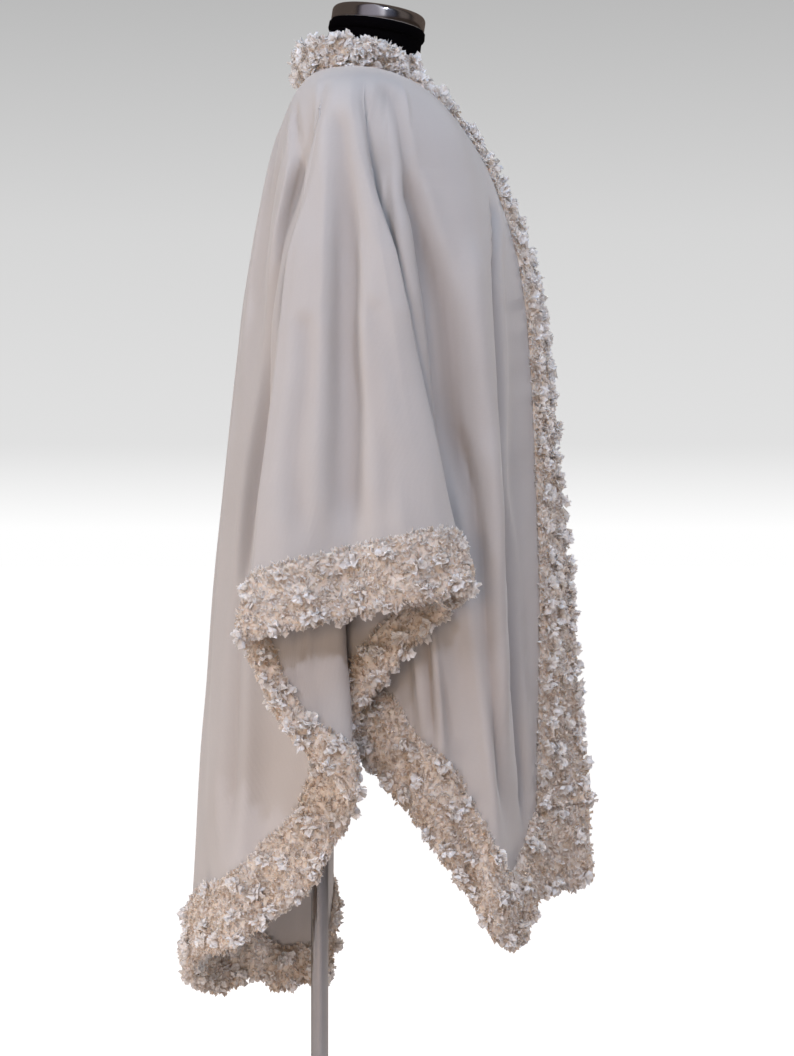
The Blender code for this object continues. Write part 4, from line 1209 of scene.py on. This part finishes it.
# Dress form.
# A limbless torso covered in black stretch jersey, hidden under the cape but for its neck, on which a
# tilted chrome cap sits. A chrome tube and a round plate stand under it.
JERSEY_DEEP = (0.0006, 0.0004, 0.0006)
JERSEY_PALE = (0.0026, 0.0020, 0.0026)
jersey, nodes, links = new_material("black_jersey")
shader = nodes["Principled BSDF"]
place_on = nodes.new("ShaderNodeTexCoord").outputs["Object"]
knit = noise(jersey.node_tree, place_on, 700.0, 3.0, 0.6)
links.new(mix_colour(jersey.node_tree, knit, JERSEY_DEEP, JERSEY_PALE), shader.inputs["Base Color"])
raise_surface(jersey.node_tree, knit, 0.3, 0.0005)
shader.inputs["Roughness"].default_value = 0.85
shader.inputs["Specular IOR Level"].default_value = 0.04

CHROME_DEEP = (0.50, 0.49, 0.49)
CHROME_PALE = (0.62, 0.62, 0.63)
chrome, nodes, links = new_material("polished_chrome")
tree = chrome.node_tree
shader = nodes["Principled BSDF"]
place_on = nodes.new("ShaderNodeTexCoord").outputs["Object"]
smudge = noise(tree, place_on, 35.0, 4.0, 0.6)
links.new(mix_colour(tree, smudge, CHROME_DEEP, CHROME_PALE), shader.inputs["Base Color"])
links.new(maths(tree, "ADD", maths(tree, "MULTIPLY", smudge, 0.12), 0.08), shader.inputs["Roughness"])
shader.inputs["Metallic"].default_value = 1.0

for node_name, finish in (("form_torso", jersey), ("stand_pole", chrome), ("stand_base", chrome)):
    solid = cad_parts[node_name]
    solid.data.materials.clear()
    solid.data.materials.append(finish)

# The jersey's collar, a doubled hem pulled tight under the cap, over the neck that leans forward
NECK_TOP = Vector((0.0, -0.0455, 1.4895))
NECK_TILT = math.radians(8.3)
NECK_RINGS = (
    # down from the cap, radius, shift to the back
    (0.0000, 0.0534, 0.0000),
    (0.0020, 0.0555, 0.0000),
    (0.0090, 0.0560, 0.0000),
    (0.0115, 0.0550, 0.0001),
    (0.0128, 0.0534, 0.0003),
    (0.0150, 0.0536, 0.0006),
    (0.0300, 0.0552, 0.0018),
    (0.0440, 0.0562, 0.0030),
)
down = Matrix.Rotation(NECK_TILT, 3, "X") @ Vector((0.0, 0.0, -1.0))
bpy.ops.mesh.primitive_circle_add(
    vertices=96, radius=NECK_RINGS[0][1], fill_type="NGON", location=NECK_TOP, rotation=(NECK_TILT, 0, 0),
)
neck = bpy.context.object
neck.name = "jersey_neck"
bpy.ops.object.transform_apply(location=True, rotation=True, scale=True)
bpy.ops.object.mode_set(mode="EDIT")
bpy.ops.mesh.select_all(action="SELECT")
for (drop, radius, shift), (next_drop, next_radius, next_shift) in zip(NECK_RINGS[:-1], NECK_RINGS[1:]):
    move = down * (next_drop - drop) + Vector((0.0, next_shift - shift, 0.0))
    bpy.ops.mesh.extrude_region_move(TRANSFORM_OT_translate={"value": move})
    centre = NECK_TOP + down * next_drop + Vector((0.0, next_shift, 0.0))
    growth = next_radius / radius
    bpy.ops.transform.resize(value=(growth, growth, 1.0), center_override=centre)
bpy.ops.mesh.select_all(action="SELECT")
bpy.ops.mesh.normals_make_consistent(inside=False)
bpy.ops.object.mode_set(mode="OBJECT")
bpy.ops.object.shade_smooth_by_angle(angle=math.radians(50))
neck.data.materials.append(jersey)
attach(neck, "root")

# The cap, a turned chrome disc with a well rounded upper edge
CAP_RADIUS = 0.0540
CAP_HEIGHT = 0.0175
CAP_ROUNDING = 0.0068
CAP_FOOT_ROUNDING = 0.0012
CAP_LIFT = 0.0001
up = -down
bpy.ops.object.select_all(action="DESELECT")
bpy.ops.mesh.primitive_cylinder_add(
    vertices=160, radius=CAP_RADIUS, depth=CAP_HEIGHT, end_fill_type="NGON",
    location=NECK_TOP + up * (CAP_HEIGHT / 2 + CAP_LIFT), rotation=(NECK_TILT, 0, 0),
)
cap = bpy.context.object
cap.name = "neck_cap"
bpy.ops.object.transform_apply(location=True, rotation=True, scale=True)
for height, rounding, steps in ((CAP_HEIGHT, CAP_ROUNDING, 8), (0.0, CAP_FOOT_ROUNDING, 3)):
    bpy.ops.object.mode_set(mode="EDIT")
    bpy.ops.mesh.select_mode(type="EDGE")
    bpy.ops.mesh.select_all(action="DESELECT")
    bpy.ops.object.mode_set(mode="OBJECT")
    for edge in cap.data.edges:
        heights = [(cap.data.vertices[k].co - NECK_TOP).dot(up) for k in edge.vertices]
        edge.select = all(abs(value - height - CAP_LIFT) < 2 * CAP_LIFT for value in heights)
    bpy.ops.object.mode_set(mode="EDIT")
    bpy.ops.mesh.bevel(offset=rounding, segments=steps, profile=0.5)
    bpy.ops.object.mode_set(mode="OBJECT")
bpy.ops.object.shade_smooth_by_angle(angle=math.radians(40))
cap.data.materials.append(chrome)
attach(cap, "root")
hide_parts("form_neck_cap")
